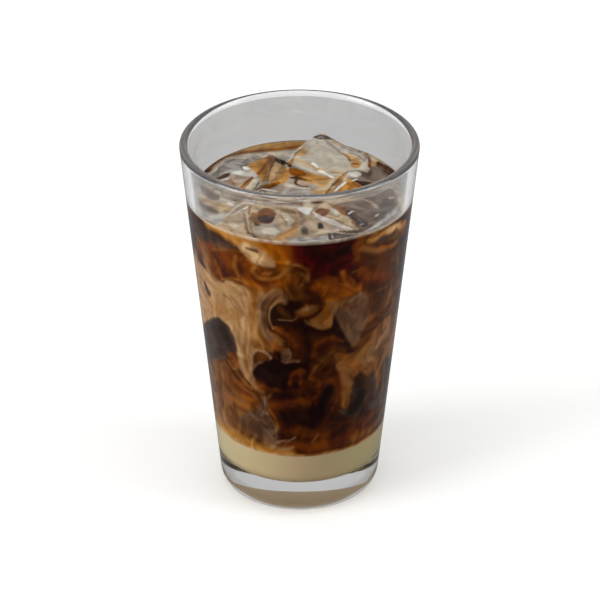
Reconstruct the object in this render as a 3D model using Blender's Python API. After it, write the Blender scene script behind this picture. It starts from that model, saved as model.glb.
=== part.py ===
# Iced coffee with condensed milk in a clear conical tumbler.
# Metres, +Z up. The origin is the middle of the glass's flat underside.
import bpy
import bmesh
from math import atan, cos, hypot, pi, radians, sin, tan
from mathutils import Vector

# Glass: a straight cone with a thick base, a rounded heel and a rounded rim
glassHeight = 0.146
footRadius = 0.0302      # where the outer cone would meet the table
rimRadius = 0.0445
wallThickness = 0.0030
baseThickness = 0.0144
heelRounding = 0.0065
floorRounding = 0.0040   # inside, between floor and wall
turnSteps = 72

# Drink: the level of each layer
milkLevel = 0.0276
coffeeLevel = 0.1240
meniscusWidth = 0.0026   # the coffee's edge creeps up the wall
meniscusRise = 0.0007
contactGap = 0.0003      # between pieces that touch

# Ice: size along the block's own axes, middle, corner radius, and turn in degrees.
# A block is turned about Z first, then tipped about Y and X.
iceBlocks = {
    "ice_back_right": {
        "size": (0.0275, 0.0195, 0.0155), "middle": (0.0128, 0.0220, 0.1214),
        "corner": 0.0040, "turn": -39.6, "tip": (29.5, -11.0)},
    "ice_back_left": {
        "size": (0.0245, 0.0155, 0.0180), "middle": (-0.0184, 0.0170, 0.1185),
        "corner": 0.0045, "turn": 6.0, "tip": (2.0, -4.0)},
    "ice_left": {
        "size": (0.0150, 0.0115, 0.0170), "middle": (-0.0220, 0.0024, 0.1194),
        "corner": 0.0042, "turn": 10.0, "tip": (8.0, 3.0)},
    "ice_right": {
        "size": (0.0222, 0.0245, 0.0180), "middle": (0.0206, -0.0089, 0.1196),
        "corner": 0.0032, "turn": -38.0, "tip": (15.6, -9.1)},
    "ice_front_left": {
        "size": (0.0222, 0.0232, 0.0190), "middle": (-0.0122, -0.0203, 0.1190),
        "corner": 0.0036, "turn": -40.0, "tip": (9.6, -2.4)},
}
iceCuts = 7              # edge loops across each face of a block
iceFlatShare = 0.5       # share of a face that stays flat between its rounded edges
iceDraft = 0.035         # blocks narrow towards their underside, as from a tray
meltDepth = 0.00035      # softly uneven faces
meltLength = 0.0170
hollowRadius = 0.0044    # round hollow melted into the front left block
hollowMiddle = (-0.0122, -0.0250, 0.1299)

wallSlope = (rimRadius - footRadius) / glassHeight
wallLean = atan(wallSlope)
slantLength = hypot(1.0, wallSlope)


def outerRadius(height):
    return footRadius + wallSlope * height


def innerRadius(height):
    return outerRadius(height) - wallThickness


def arc(middle, radius, start, end, steps):
    points = []
    for step in range(steps + 1):
        angle = start + (end - start) * step / steps
        points.append((middle[0] + radius * cos(angle), middle[1] + radius * sin(angle)))
    return points


def floorArc(gap):
    # Rounding between the inside wall and the floor, moved inwards by a gap
    height = baseThickness + floorRounding
    middle = (innerRadius(height) - floorRounding * slantLength, height)
    return arc(middle, floorRounding - gap, -wallLean, -pi / 2, 5)


def glassOutline():
    # From the middle of the floor up the inside, over the rim and down the outside
    inside = [(0.0, baseThickness)] + floorArc(0.0)[::-1]
    rimHalf = wallThickness / 2
    rimMiddle = (rimRadius - rimHalf, glassHeight - rimHalf)
    rim = arc(rimMiddle, rimHalf, pi - wallLean, -wallLean, 8)
    heelMiddle = (outerRadius(heelRounding) - heelRounding * slantLength, heelRounding)
    heel = arc(heelMiddle, heelRounding, -wallLean, -pi / 2, 7)
    return inside + rim + heel + [(0.0, 0.0)]


def milkOutline():
    top = [(0.0, milkLevel), (innerRadius(milkLevel) - contactGap, milkLevel)]
    return top + floorArc(contactGap) + [(0.0, baseThickness + contactGap)]


def coffeeOutline():
    edge = innerRadius(coffeeLevel + meniscusRise) - contactGap
    top = [(0.0, coffeeLevel)]
    for share in (0.0, 0.55, 1.0):
        top.append((edge - meniscusWidth * (1 - share), coffeeLevel + meniscusRise * share ** 2))
    bottom = milkLevel + contactGap
    return top + [(innerRadius(bottom) - contactGap, bottom), (0.0, bottom)]


def material(name, colour, roughness, transmission):
    made = bpy.data.materials.new(name)
    made.use_nodes = True
    shader = made.node_tree.nodes["Principled BSDF"]
    shader.inputs["Base Color"].default_value = (*colour, 1.0)
    shader.inputs["Roughness"].default_value = roughness
    shader.inputs["Metallic"].default_value = 0.0
    shader.inputs["Transmission Weight"].default_value = transmission
    made.diffuse_color = (*colour, 1.0)
    return made


def finish(obj, surface, sharpAngle):
    obj.data.materials.append(surface)
    obj.data.shade_smooth()
    obj.data.set_sharp_from_angle(angle=radians(sharpAngle))
    bpy.context.scene.collection.objects.link(obj)
    return obj


def turned(name, outline, surface):
    # A closed body of revolution from an outline that starts and ends on the axis
    mesh = bpy.data.meshes.new(name)
    bm = bmesh.new()
    points = [bm.verts.new((radius, 0.0, height)) for radius, height in outline]
    for first, second in zip(points, points[1:]):
        bm.edges.new((first, second))
    bm.to_mesh(mesh)
    bm.free()
    obj = finish(bpy.data.objects.new(name, mesh), surface, 40)
    screw = obj.modifiers.new("Turn", "SCREW")
    screw.steps = turnSteps
    screw.render_steps = turnSteps
    screw.use_merge_vertices = True
    screw.merge_threshold = 0.00001
    screw.use_smooth_shade = True
    return obj


def roundedPoint(place, half, corner):
    # Moves a point of a 2 x 2 x 2 cube onto a block with rounded edges and corners
    core = Vector()
    lean = Vector()
    for axis in range(3):
        side = 1.0 if place[axis] > 0 else -1.0
        reach = abs(place[axis])
        flat = min(reach / iceFlatShare, 1.0)
        bend = max(0.0, (reach - iceFlatShare) / (1.0 - iceFlatShare))
        core[axis] = side * flat * (half[axis] - corner)
        lean[axis] = side * tan(bend * pi / 4)
    return core + corner * lean.normalized()


def melted(point, half):
    # Draft towards the underside, and a slow wave over the faces
    narrow = 1.0 + iceDraft * point.z / half.z
    wave = 2 * pi / meltLength
    shaped = Vector((point.x * narrow, point.y * narrow, point.z))
    shaped.x += meltDepth * sin(wave * point.y + 40 * half.x) * cos(wave * point.z)
    shaped.y += meltDepth * sin(wave * point.z + 70 * half.y) * cos(wave * point.x)
    shaped.z += meltDepth * sin(wave * point.x + 90 * half.y) * cos(wave * point.y)
    return shaped


def iceBlock(name, block, surface, grow):
    # grow makes the block larger all round, for the pocket that it floats in
    half = Vector(block["size"]) / 2
    mesh = bpy.data.meshes.new(name)
    bm = bmesh.new()
    bmesh.ops.create_cube(bm, size=2.0)
    bmesh.ops.subdivide_edges(bm, edges=bm.edges[:], cuts=iceCuts, use_grid_fill=True)
    for vert in bm.verts:
        plain = roundedPoint(vert.co, half, block["corner"])
        swollen = roundedPoint(vert.co, half + Vector((grow, grow, grow)), block["corner"] + grow)
        vert.co = melted(plain, half) + (swollen - plain)
    bm.to_mesh(mesh)
    bm.free()
    obj = finish(bpy.data.objects.new(name, mesh), surface, 180)
    obj.location = block["middle"]
    obj.rotation_mode = "ZYX"
    obj.rotation_euler = (radians(block["tip"][0]), radians(block["tip"][1]), radians(block["turn"]))
    return obj


def cutAway(target, cutter):
    cutter.hide_render = True
    cutter.display_type = "WIRE"
    cut = target.modifiers.new(cutter.name, "BOOLEAN")
    cut.operation = "DIFFERENCE"
    cut.solver = "EXACT"
    cut.object = cutter


def hollowCutter(surface):
    mesh = bpy.data.meshes.new("hollow_cutter")
    bm = bmesh.new()
    bmesh.ops.create_uvsphere(bm, u_segments=20, v_segments=12, radius=hollowRadius)
    bm.to_mesh(mesh)
    bm.free()
    obj = finish(bpy.data.objects.new("hollow_cutter", mesh), surface, 180)
    obj.location = hollowMiddle
    return obj


def build():
    for obj in list(bpy.data.objects):
        bpy.data.objects.remove(obj)
    clearGlass = material("clear_glass", (0.93, 0.94, 0.94), 0.02, 1.0)
    creamyMilk = material("condensed_milk", (0.55, 0.42, 0.26), 0.30, 0.0)
    milkyCoffee = material("milky_coffee", (0.20, 0.10, 0.045), 0.15, 0.0)
    clearIce = material("clear_ice", (0.80, 0.78, 0.74), 0.08, 0.8)
    turned("glass", glassOutline(), clearGlass)
    turned("condensed_milk", milkOutline(), creamyMilk)
    coffee = turned("coffee", coffeeOutline(), milkyCoffee)
    for name, block in iceBlocks.items():
        ice = iceBlock(name, block, clearIce, 0.0)
        cutAway(coffee, iceBlock(name + "_pocket", block, milkyCoffee, contactGap))
        if name == "ice_front_left":
            cutAway(ice, hollowCutter(clearIce))


build()
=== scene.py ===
from math import atan, atan2, cos, degrees, hypot, pi, radians, sin
import bpy
import numpy as np
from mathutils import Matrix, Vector


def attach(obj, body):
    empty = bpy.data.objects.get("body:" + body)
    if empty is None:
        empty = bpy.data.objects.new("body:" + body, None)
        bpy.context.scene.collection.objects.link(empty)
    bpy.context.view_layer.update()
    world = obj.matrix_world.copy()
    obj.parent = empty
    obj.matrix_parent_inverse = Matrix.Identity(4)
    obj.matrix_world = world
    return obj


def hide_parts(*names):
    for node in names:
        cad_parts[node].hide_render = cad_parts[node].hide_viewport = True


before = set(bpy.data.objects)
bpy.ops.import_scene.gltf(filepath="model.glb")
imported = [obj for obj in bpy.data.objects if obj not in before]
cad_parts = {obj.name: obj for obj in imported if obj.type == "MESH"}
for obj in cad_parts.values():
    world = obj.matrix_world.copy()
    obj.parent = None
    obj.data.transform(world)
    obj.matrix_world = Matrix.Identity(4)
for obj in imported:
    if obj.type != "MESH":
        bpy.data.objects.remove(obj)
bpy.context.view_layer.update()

mm = 0.001
seamGap = 0.005 * mm   # points nearer than this are one


def clearSelection():
    if bpy.context.object and bpy.context.object.mode != "OBJECT":
        bpy.ops.object.mode_set(mode="OBJECT")
    bpy.ops.object.select_all(action="DESELECT")


def pick(obj):
    clearSelection()
    obj.select_set(True)
    bpy.context.view_layer.objects.active = obj


def editAll(obj):
    pick(obj)
    bpy.ops.object.mode_set(mode="EDIT")
    bpy.ops.mesh.select_all(action="SELECT")


def endEdit():
    bpy.ops.object.mode_set(mode="OBJECT")


def settle(obj):
    # leaves the object at the origin with its place in its mesh
    pick(obj)
    bpy.ops.object.transform_apply(location=True, rotation=True, scale=True)


def applyModifier(obj, name, kind, **settings):
    pick(obj)
    modifier = obj.modifiers.new(name, kind)
    for key, value in settings.items():
        setattr(modifier, key, value)
    bpy.ops.object.modifier_apply(modifier=modifier.name)


def smoothByAngle(obj, angle):
    pick(obj)
    bpy.ops.object.shade_smooth_by_angle(angle=radians(angle))


def arc(middle, radius, start, end, steps):
    # start and end in degrees, anticlockwise from the outward direction
    turns = [radians(start + (end - start) * step / steps) for step in range(steps + 1)]
    return [(middle[0] + radius * cos(turn), middle[1] + radius * sin(turn)) for turn in turns]


def pointsAt(first, second, shares):
    # points at the given shares of the straight way from first to second
    return [(first[0] + (second[0] - first[0]) * share,
             first[1] + (second[1] - first[1]) * share) for share in shares]


def between(first, second, steps):
    # evenly spaced points after the first, up to and with the second
    return pointsAt(first, second, [step / steps for step in range(1, steps + 1)])


def held(first, second, steps):
    # the same with close rows at both ends, which keep the shading of a rounding off the flat beside it
    shares = [0.004, 0.02] + [step / steps for step in range(1, steps)] + [0.98, 0.996, 1.0]
    return pointsAt(first, second, shares)


def lathe(name, outline, steps):
    # draws half an outline vertex by vertex, then spins it about the upright axis
    clearSelection()
    bpy.ops.mesh.primitive_plane_add(size=mm, location=(outline[0][0], 0, outline[0][1]))
    obj = bpy.context.object
    obj.name = obj.data.name = name
    settle(obj)
    editAll(obj)
    bpy.ops.mesh.merge(type="CENTER")
    for (radius, height), (nextRadius, nextHeight) in zip(outline, outline[1:]):
        step = (nextRadius - radius, 0, nextHeight - height)
        bpy.ops.mesh.extrude_region_move(TRANSFORM_OT_translate={"value": step})
    bpy.ops.mesh.select_all(action="SELECT")
    bpy.ops.mesh.spin(steps=steps, angle=2 * pi, center=(0, 0, 0), axis=(0, 0, 1))
    bpy.ops.mesh.select_all(action="SELECT")
    bpy.ops.mesh.remove_doubles(threshold=seamGap)
    bpy.ops.mesh.normals_make_consistent(inside=False)
    endEdit()
    return obj


class Wire:
    # a socket that takes part in sums
    def __init__(self, paint, socket):
        self.paint = paint
        self.socket = socket

    def math(self, operation, *values):
        made = self.paint.node("Math", {"operation": operation}, dict(enumerate(values)))
        return Wire(self.paint, made.outputs[0])

    def __add__(self, other):
        return self.math("ADD", self, other)

    def __radd__(self, other):
        return self.math("ADD", other, self)

    def __sub__(self, other):
        return self.math("SUBTRACT", self, other)

    def __rsub__(self, other):
        return self.math("SUBTRACT", other, self)

    def __mul__(self, other):
        return self.math("MULTIPLY", self, other)

    def __rmul__(self, other):
        return self.math("MULTIPLY", other, self)


class Paint:
    # the nodes of one material, or of the world
    def __init__(self, name, kind="Material"):
        self.owner = {"Material": bpy.data.materials, "World": bpy.data.worlds}[kind].new(name)
        self.owner.use_nodes = True
        self.tree = self.owner.node_tree
        self.tree.nodes.clear()
        self.output = self.tree.nodes.new("ShaderNodeOutput" + kind)

    def node(self, kind, settings=None, sockets=None):
        made = self.tree.nodes.new("ShaderNode" + kind)
        for key, value in (settings or {}).items():
            if key == "stops":
                self.setStops(made.color_ramp, value)
            else:
                setattr(made, key, value)
        for key, value in (sockets or {}).items():
            self.feed(made.inputs[key], value)
        return made

    def setStops(self, ramp, stops):
        while len(ramp.elements) < len(stops):
            ramp.elements.new(0.5)
        for element, (place, tone) in zip(ramp.elements, stops):
            element.position = place
            element.color = (*tone, 1)

    def feed(self, socket, value):
        if isinstance(value, Wire):
            self.tree.links.new(value.socket, socket)
        elif isinstance(value, bpy.types.NodeSocket):
            self.tree.links.new(value, socket)
        else:
            socket.default_value = value

    def tint(self):
        # the colour painted on each vertex
        return self.node("Attribute", {"attribute_name": "tint"}).outputs["Color"]

    def place(self):
        return self.node("TexCoord").outputs["Object"]

    def noise(self, size, detail=3.0, roughness=0.5):
        # size is that of one blotch, in metres
        made = self.node("TexNoise", {}, {"Vector": self.place(), "Scale": 1 / size, "Detail": detail,
                                          "Roughness": roughness})
        return Wire(self, made.outputs["Fac"])

    def ramp(self, value, stops):
        return Wire(self, self.node("ValToRGB", {"stops": stops}, {0: value}).outputs["Color"])

    def mix(self, share, first, second, blend="MIX"):
        made = self.node("Mix", {"data_type": "RGBA", "blend_type": blend}, {0: share, 6: first, 7: second})
        return Wire(self, made.outputs[2])

    def mapRange(self, value, low, high, kind="SMOOTHSTEP"):
        # a share that is 0 at low and 1 at high
        return Wire(self, self.node("MapRange", {"interpolation_type": kind},
                                    {0: value, 1: low, 2: high}).outputs[0])

    def bump(self, height, strength, distance):
        made = self.node("Bump", {}, {"Height": height, "Strength": strength, "Distance": distance})
        return made.outputs[0]

    def shader(self, sockets):
        return self.node("BsdfPrincipled", {}, sockets).outputs[0]

    def blend(self, share, first, second):
        return self.node("MixShader", {}, {0: share, 1: first, 2: second}).outputs[0]

    def letLightThrough(self, shader, share):
        # lamplight passes, dimmed to share, so that what lies behind is lit
        through = self.node("BsdfTransparent", {}, {0: (share, share, share, 1)}).outputs[0]
        return self.blend(self.node("LightPath").outputs["Is Shadow Ray"], shader, through)

    def finish(self, shader):
        self.tree.links.new(shader, self.output.inputs["Surface"])
        return self.owner


def colour(red, green, blue):
    # screen values from 0 to 255 as linear light
    def linear(value):
        share = value / 255
        return share / 12.92 if share <= 0.04045 else ((share + 0.055) / 1.055) ** 2.4
    return (linear(red), linear(green), linear(blue))


# camera, light and floor
studio = {
    "cameraPlace": (0, -1.0164, 0.6618), "cameraDip": 29.864, "lens": 184.8, "shift": 0.0008,
    "aim": (0, 0, 0.08),   # where the lamps point
    "lights": {   # place, size and strength in watts
        "light_above": ((0.0, 0.15, 1.25), (1.2, 1.0), 4.0),
        "light_left": ((-1.05, -0.45, 0.75), (0.7, 1.1), 12.0),
        "light_right": ((1.10, -0.25, 0.70), (0.6, 1.1), 7.5),
        "light_strip": ((0.0, -0.5, 1.3), (1.2, 0.08), 2.0),
        "light_behind": ((0.0, 1.6, 0.95), (3.0, 0.8), 0.7)},
    # brightness by where one looks, from the low end of an axis (0) to its high end (1)
    "world": {"Z": ((0.0, 0.0), (0.42, 0.0), (0.47, 0.52), (0.56, 0.62)),
              "Y": ((0.1, 0.03), (0.5, 0.11), (0.9, 0.24))},
    "floorSize": 6.0, "floorDrop": 0.2 * mm, "floorRoughness": 0.9, "floorColour": (0.86, 0.86, 0.85),
    "grainSize": 4 * mm, "grainShade": 0.985,
}


def addObject(name, data, location, rotation):
    obj = bpy.data.objects.new(name, data)
    obj.location = location
    obj.rotation_euler = rotation
    bpy.context.collection.objects.link(obj)
    return obj


def makeCamera():
    camera = bpy.data.cameras.new("camera")
    camera.lens = studio["lens"]
    camera.shift_x = studio["shift"]
    turn = (radians(90 - studio["cameraDip"]), 0, 0)
    bpy.context.scene.camera = addObject("camera", camera, studio["cameraPlace"], turn)
    bpy.context.scene.view_settings.view_transform = "Standard"


def makeLights():
    for name, (location, size, strength) in studio["lights"].items():
        lamp = bpy.data.lights.new(name, "AREA")
        lamp.shape = "RECTANGLE"
        lamp.size, lamp.size_y = size
        lamp.energy = strength
        way = Vector(studio["aim"]) - Vector(location)
        addObject(name, lamp, location, way.to_track_quat("-Z", "Y").to_euler())
    paint = Paint("studio", "World")
    heading = paint.node("SeparateXYZ", {}, {0: paint.node("TexCoord").outputs["Generated"]}).outputs
    shades = []
    for axis, stops in studio["world"].items():
        share = paint.mapRange(heading[axis], -1, 1, "LINEAR")
        shades.append(paint.ramp(share, [(at, (strength,) * 3) for at, strength in stops]))
    brighter = paint.mix(1, *shades, "LIGHTEN")
    bpy.context.scene.world = paint.finish(paint.node("Background", {}, {"Color": brighter}).outputs[0])


def makeFloor():
    clearSelection()
    bpy.ops.mesh.primitive_plane_add(size=studio["floorSize"], location=(0, 0, -studio["floorDrop"]))
    floor = bpy.context.object
    floor.name = "floor"
    settle(floor)
    paint = Paint("floor_paper")
    shaded = [value * studio["grainShade"] for value in studio["floorColour"]]
    tone = paint.mix(paint.noise(studio["grainSize"]), (*studio["floorColour"], 1), (*shaded, 1))
    shader = paint.shader({"Base Color": tone, "Roughness": studio["floorRoughness"]})
    floor.data.materials.append(paint.finish(shader))
    floor.visible_glossy = False   # keeps its pale mirror image off the glass


glass = {
    "height": 146 * mm, "footRadius": 30.2 * mm, "rimRadius": 44.5 * mm, "wall": 3.0 * mm,
    "base": 14.4 * mm, "heel": 6.5 * mm, "floorRounding": 4.0 * mm,
    "footWidth": 1.2 * mm, "hollowWidth": 5.0 * mm, "hollow": 1.2 * mm, "hollowDome": 1.0 * mm,   # underside
    "steps": 160, "rimSteps": 14, "heelSteps": 12, "floorSteps": 8, "smoothAngle": 40,
    "wallRows": 12, "baseRows": 4, "footRows": 2, "hollowRows": 12,
    "clear": (0.75, 0.753, 0.758), "grey": (0.295, 0.296, 0.30),   # tints of the outer and inner surface; the grey inside is painted shade, dimming what is seen through the glass
    "clearRim": 0.6, "greyDepth": 0.75,   # where these tints end, in wall widths
    "frost": 0.12, "frostColour": (0.5, 0.5, 0.5), "frostRoughness": 0.2,   # a pale haze on the rim
    "index": 1.5, "shade": 0.93,   # how much light is bent, and how much lamplight passes
}
wallSlope = (glass["rimRadius"] - glass["footRadius"]) / glass["height"]
wallLean = degrees(atan(wallSlope))
slant = hypot(1, wallSlope)


def outerRadius(height):
    return glass["footRadius"] + wallSlope * height


def innerRadius(height):
    return outerRadius(height) - glass["wall"]


def floorArc(reach):
    # rounding between the inside wall and floor; reach moves it out into the glass
    height = glass["base"] + glass["floorRounding"]
    middle = (innerRadius(height) - glass["floorRounding"] * slant, height)
    return arc(middle, glass["floorRounding"] + reach, -wallLean, -90, glass["floorSteps"])


def clearGlass(name, tint, frost=0.0):
    paint = Paint(name)
    bent = paint.shader({"Base Color": (*tint, 1), "Roughness": 0.0, "IOR": glass["index"],
                         "Transmission Weight": 1.0})
    if frost > 0:
        pale = paint.shader({"Base Color": (*glass["frostColour"], 1), "Roughness": glass["frostRoughness"]})
        bent = paint.blend(frost, bent, pale)
    return paint.finish(paint.letLightThrough(bent, glass["shade"]))


def makeGlass():
    half = glass["wall"] / 2
    rimMiddle = (glass["rimRadius"] - half, glass["height"] - half)
    rim = arc(rimMiddle, half, 180 - wallLean, -wallLean, glass["rimSteps"])
    heelMiddle = (outerRadius(glass["heel"]) - glass["heel"] * slant, glass["heel"])
    heel = arc(heelMiddle, glass["heel"], -wallLean, -90, glass["heelSteps"])
    inside = floorArc(0.0)[::-1]
    outline = [(0, glass["base"])] + held((0, glass["base"]), inside[0], glass["baseRows"]) + inside[1:]
    outline += held(inside[-1], rim[0], glass["wallRows"]) + rim[1:]
    outline += held(rim[-1], heel[0], glass["wallRows"]) + heel[1:]
    foot = (heel[-1][0] - glass["footWidth"], 0)
    outline += between(heel[-1], foot, glass["footRows"])
    shares = [step / glass["hollowRows"] for step in range(1, glass["hollowRows"] + 1)]
    for share in shares:   # shallow hollow under the base
        outline.append((foot[0] - glass["hollowWidth"] * share, glass["hollow"] * (1 - cos(pi * share)) / 2))
    edge = outline[-1]
    for share in shares:   # and a slight dome
        outline.append((edge[0] * (1 - share), edge[1] + glass["hollowDome"] * (1 - (1 - share) ** 2)))
    tumbler = lathe("tumbler", outline, glass["steps"])
    smoothByAngle(tumbler, glass["smoothAngle"])
    tumbler.data.materials.append(clearGlass("clear_glass", glass["clear"]))
    # the grey of the inner surface is painted shade
    tumbler.data.materials.append(clearGlass("grey_glass", glass["grey"]))
    tumbler.data.materials.append(clearGlass("rim_glass", glass["clear"], glass["frost"]))
    for face in tumbler.data.polygons:
        middle = face.center
        depth = outerRadius(middle.z) - hypot(middle.x, middle.y)
        if middle.z > glass["height"] - glass["wall"] * glass["clearRim"]:
            face.material_index = 2
        elif depth > glass["wall"] * glass["greyDepth"] and middle.z > glass["base"] - mm:
            face.material_index = 1
    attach(tumbler, "root")
    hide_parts("glass")
    print("glass made")


iceBlocks = {   # size and middle in millimetres, turn and tip in degrees
    "ice_back_right": {"size": (27.5, 19.5, 15.5), "middle": (12.8, 22.0, 121.4), "corner": 4.0,
                       "turn": -39.6, "tip": (29.5, -11.0)},
    "ice_back_left": {"size": (24.5, 15.5, 18.0), "middle": (-18.4, 17.0, 118.5), "corner": 4.5,
                      "turn": 6.0, "tip": (2.0, -4.0)},
    "ice_left": {"size": (15.0, 11.5, 17.0), "middle": (-22.0, 2.4, 119.4), "corner": 4.2,
                 "turn": 10.0, "tip": (8.0, 3.0)},
    "ice_right": {"size": (22.2, 24.5, 18.0), "middle": (20.6, -8.9, 119.6), "corner": 3.2,
                  "turn": -38.0, "tip": (15.6, -9.1)},
    "ice_front_left": {"size": (22.2, 23.2, 19.0), "middle": (-12.2, -20.3, 119.0), "corner": 3.6,
                       "turn": -40.0, "tip": (9.6, -2.4), "hollow": ((-12.2, -25.0, 129.9), 4.4)},
}
iceFinish = {
    "draft": 0.035, "swell": 0.5 * mm, "swellSize": 9 * mm,   # narrower downwards, and uneven
    "inset": 0.15 * mm,   # how far the block reaches into the coffee
    "cuts": 56, "pocketCuts": 16, "smoothAngle": 60,
    "clear": (0.985, 0.985, 0.98), "paintedShare": 0.93, "index": 1.31, "shade": 0.9,   # share of the painted look, which holds painted highlights, reflections and shade besides the cloudy ice
    "frostSize": 5 * mm, "frost": (0.45, 0.75), "frostRoughness": 0.05,
    "rippleSize": 3.5 * mm, "ripple": 0.20, "rippleHeight": 0.3 * mm,
    "roughness": 0.5, "specular": 0.1, "coat": 0.4, "coatRoughness": 0.02,
    "lean": 1.89, "leanGrowth": 0.00186, "spread": 0.0019,   # how height shifts what is seen from above
}


def iceMaterial():
    paint = Paint("clear_ice")
    frost = paint.mapRange(paint.noise(iceFinish["frostSize"], 4, 0.6), *iceFinish["frost"])
    ripple = paint.bump(paint.noise(iceFinish["rippleSize"], 2, 0.5), iceFinish["ripple"],
                        iceFinish["rippleHeight"])
    bent = paint.shader({"Base Color": (*iceFinish["clear"], 1), "IOR": iceFinish["index"],
                         "Roughness": iceFinish["frostRoughness"] * frost, "Transmission Weight": 1.0,
                         "Normal": ripple})
    # the painted look of the ice: its cloudiness with painted highlights, reflections and shade
    paintedIce = paint.shader({"Base Color": paint.tint(), "Roughness": iceFinish["roughness"],
                           "IOR": iceFinish["index"], "Specular IOR Level": iceFinish["specular"],
                           "Coat Weight": iceFinish["coat"], "Coat Roughness": iceFinish["coatRoughness"],
                           "Coat IOR": iceFinish["index"], "Normal": ripple, "Coat Normal": ripple})
    both = paint.blend(iceFinish["paintedShare"], bent, paintedIce)
    return paint.finish(paint.letLightThrough(both, iceFinish["shade"]))


def makeBlock(name, block, cuts):
    size = Vector(block["size"]) * mm
    clearSelection()
    bpy.ops.mesh.primitive_cube_add(size=1)
    ice = bpy.context.object
    ice.name = ice.data.name = name
    ice.scale = size
    settle(ice)
    editAll(ice)
    bpy.ops.mesh.subdivide(number_cuts=cuts, smoothness=0)
    endEdit()
    corner = block["corner"] * mm
    core = size / 2 - Vector((corner, corner, corner))
    for vert in ice.data.vertices:   # rounds the edges, then narrows the underside, as from a tray
        inner = Vector([min(max(value, -limit), limit) for value, limit in zip(vert.co, core)])
        vert.co = inner + (vert.co - inner).normalized() * corner
        share = 1 + iceFinish["draft"] * vert.co.z / (size.z / 2)
        vert.co.x *= share
        vert.co.y *= share
    texture = bpy.data.textures.new(name + "_swell", "CLOUDS")
    texture.noise_scale = iceFinish["swellSize"]
    texture.noise_depth = 0
    applyModifier(ice, "swell", "DISPLACE", texture=texture, texture_coords="LOCAL",
                  strength=iceFinish["swell"], mid_level=0.5)
    ice.rotation_mode = "ZYX"
    ice.rotation_euler = [radians(angle) for angle in (*block["tip"], block["turn"])]
    ice.location = Vector(block["middle"]) * mm
    settle(ice)
    if "hollow" in block:   # melted in, round
        middle, reach = Vector(block["hollow"][0]) * mm, block["hollow"][1] * mm
        for vert in ice.data.vertices:
            away = vert.co - middle
            if away.length < reach:
                vert.co = middle + away.normalized() * reach
    return ice


def makeIce():
    material = iceMaterial()
    for name, block in iceBlocks.items():
        ice = makeBlock(name, block, iceFinish["cuts"])
        smoothByAngle(ice, iceFinish["smoothAngle"])
        paintIce(ice)
        ice.data.materials.append(material)
        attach(ice, "root")
        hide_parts(name)
    print("ice made")


def makePocket(name, block):
    # a slightly smaller copy, cut out of the coffee so that the ice reaches just into it
    pocket = makeBlock(name + "_pocket", block, iceFinish["pocketCuts"])
    applyModifier(pocket, "shrink", "DISPLACE", strength=-iceFinish["inset"], mid_level=0.0)
    return pocket


drink = {
    "milkLevel": 27.6 * mm, "coffeeLevel": 124.0 * mm, "reach": 0.25 * mm,   # into the glass
    "meniscusWidth": 2.6 * mm, "meniscusRise": 0.7 * mm, "backClimb": 2.0, "frontClimb": 2.0,
    "steps": 460, "rows": 150, "rings": 44, "bottomRings": 6, "meniscusRings": 6, "crowding": 0.3,
    "smoothAngle": 40,
    # make up for the glass in front: how much lighter, less hazy and richer the colours are
    "sideGain": 1.25, "openGain": 0.72, "wallGain": 1.56,
    "sideVeil": 0.004, "openVeil": 0.009, "wallVeil": 0.03,
    "sideRichness": 1.06, "topRichness": 1.08,
    "mouth": (38.3, 41.5, 3.0),   # middle, radius and softness of what is seen over the rim
    "film": 0.05, "surfaceDepth": 0.2, "surfaceSlope": 0.8,   # what counts as the top, in millimetres
    "iceLift": 4.3, "iceSlope": 0.88,   # how far the walls of the pockets are seen shifted
    # a painted highlight: the pale line where the drink meets the front wall
    "highlightColour": (200, 188, 165), "lineWidth": (1.3, 0.5), "lineHeight": (0.9, 0.3), "lineFront": (-8, 6),
    "lineSeed": 3, "lineSize": 1.7, "lineStrength": 0.7, "linePatches": 0.35,
    "index": 1.35, "surfaceShine": 0.08, "surfaceRoughness": 0.03, "sideRoughness": 0.5,
}


def climbOf(turn):
    # how much more than at the sides the drink creeps up the back and the front wall
    front = np.cos(turn)
    return drink["backClimb"] * np.maximum(-front, 0) ** 2 + drink["frontClimb"] * np.maximum(front, 0) ** 2


def makeCoffeeBody(pockets):
    edge = innerRadius(drink["coffeeLevel"] + drink["meniscusRise"]) + drink["reach"]
    flat = (edge - drink["meniscusWidth"], drink["coffeeLevel"])
    outline = [(0, drink["coffeeLevel"])] + between((0, drink["coffeeLevel"]), flat, drink["rings"])
    for step in range(1, drink["meniscusRings"] + 1):
        share = step / drink["meniscusRings"]
        outline.append((flat[0] + drink["meniscusWidth"] * share,
                        drink["coffeeLevel"] + drink["meniscusRise"] * share ** 2))
    bottom = (innerRadius(drink["milkLevel"]) + drink["reach"], drink["milkLevel"])
    outline += between(outline[-1], bottom, drink["rows"])
    outline += between(bottom, (0, drink["milkLevel"]), drink["bottomRings"])
    coffee = lathe("swirled_coffee", outline, drink["steps"])
    for vert in coffee.data.vertices:
        turn = atan2(vert.co.x, -vert.co.y)
        turn -= drink["crowding"] * sin(turn)   # closer together towards the front
        climb = max(vert.co.z - drink["coffeeLevel"], 0) * climbOf(turn)
        radius = hypot(vert.co.x, vert.co.y) + wallSlope * climb
        vert.co = (radius * sin(turn), -radius * cos(turn), vert.co.z + climb)
    clearSelection()
    for pocket in pockets:
        pocket.select_set(True)
    bpy.context.view_layer.objects.active = pockets[0]
    bpy.ops.object.join()
    cutter = bpy.context.object
    applyModifier(coffee, "pockets", "BOOLEAN", operation="DIFFERENCE", solver="EXACT", object=cutter)
    bpy.data.objects.remove(cutter)
    smoothByAngle(coffee, drink["smoothAngle"])
    return coffee


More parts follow.
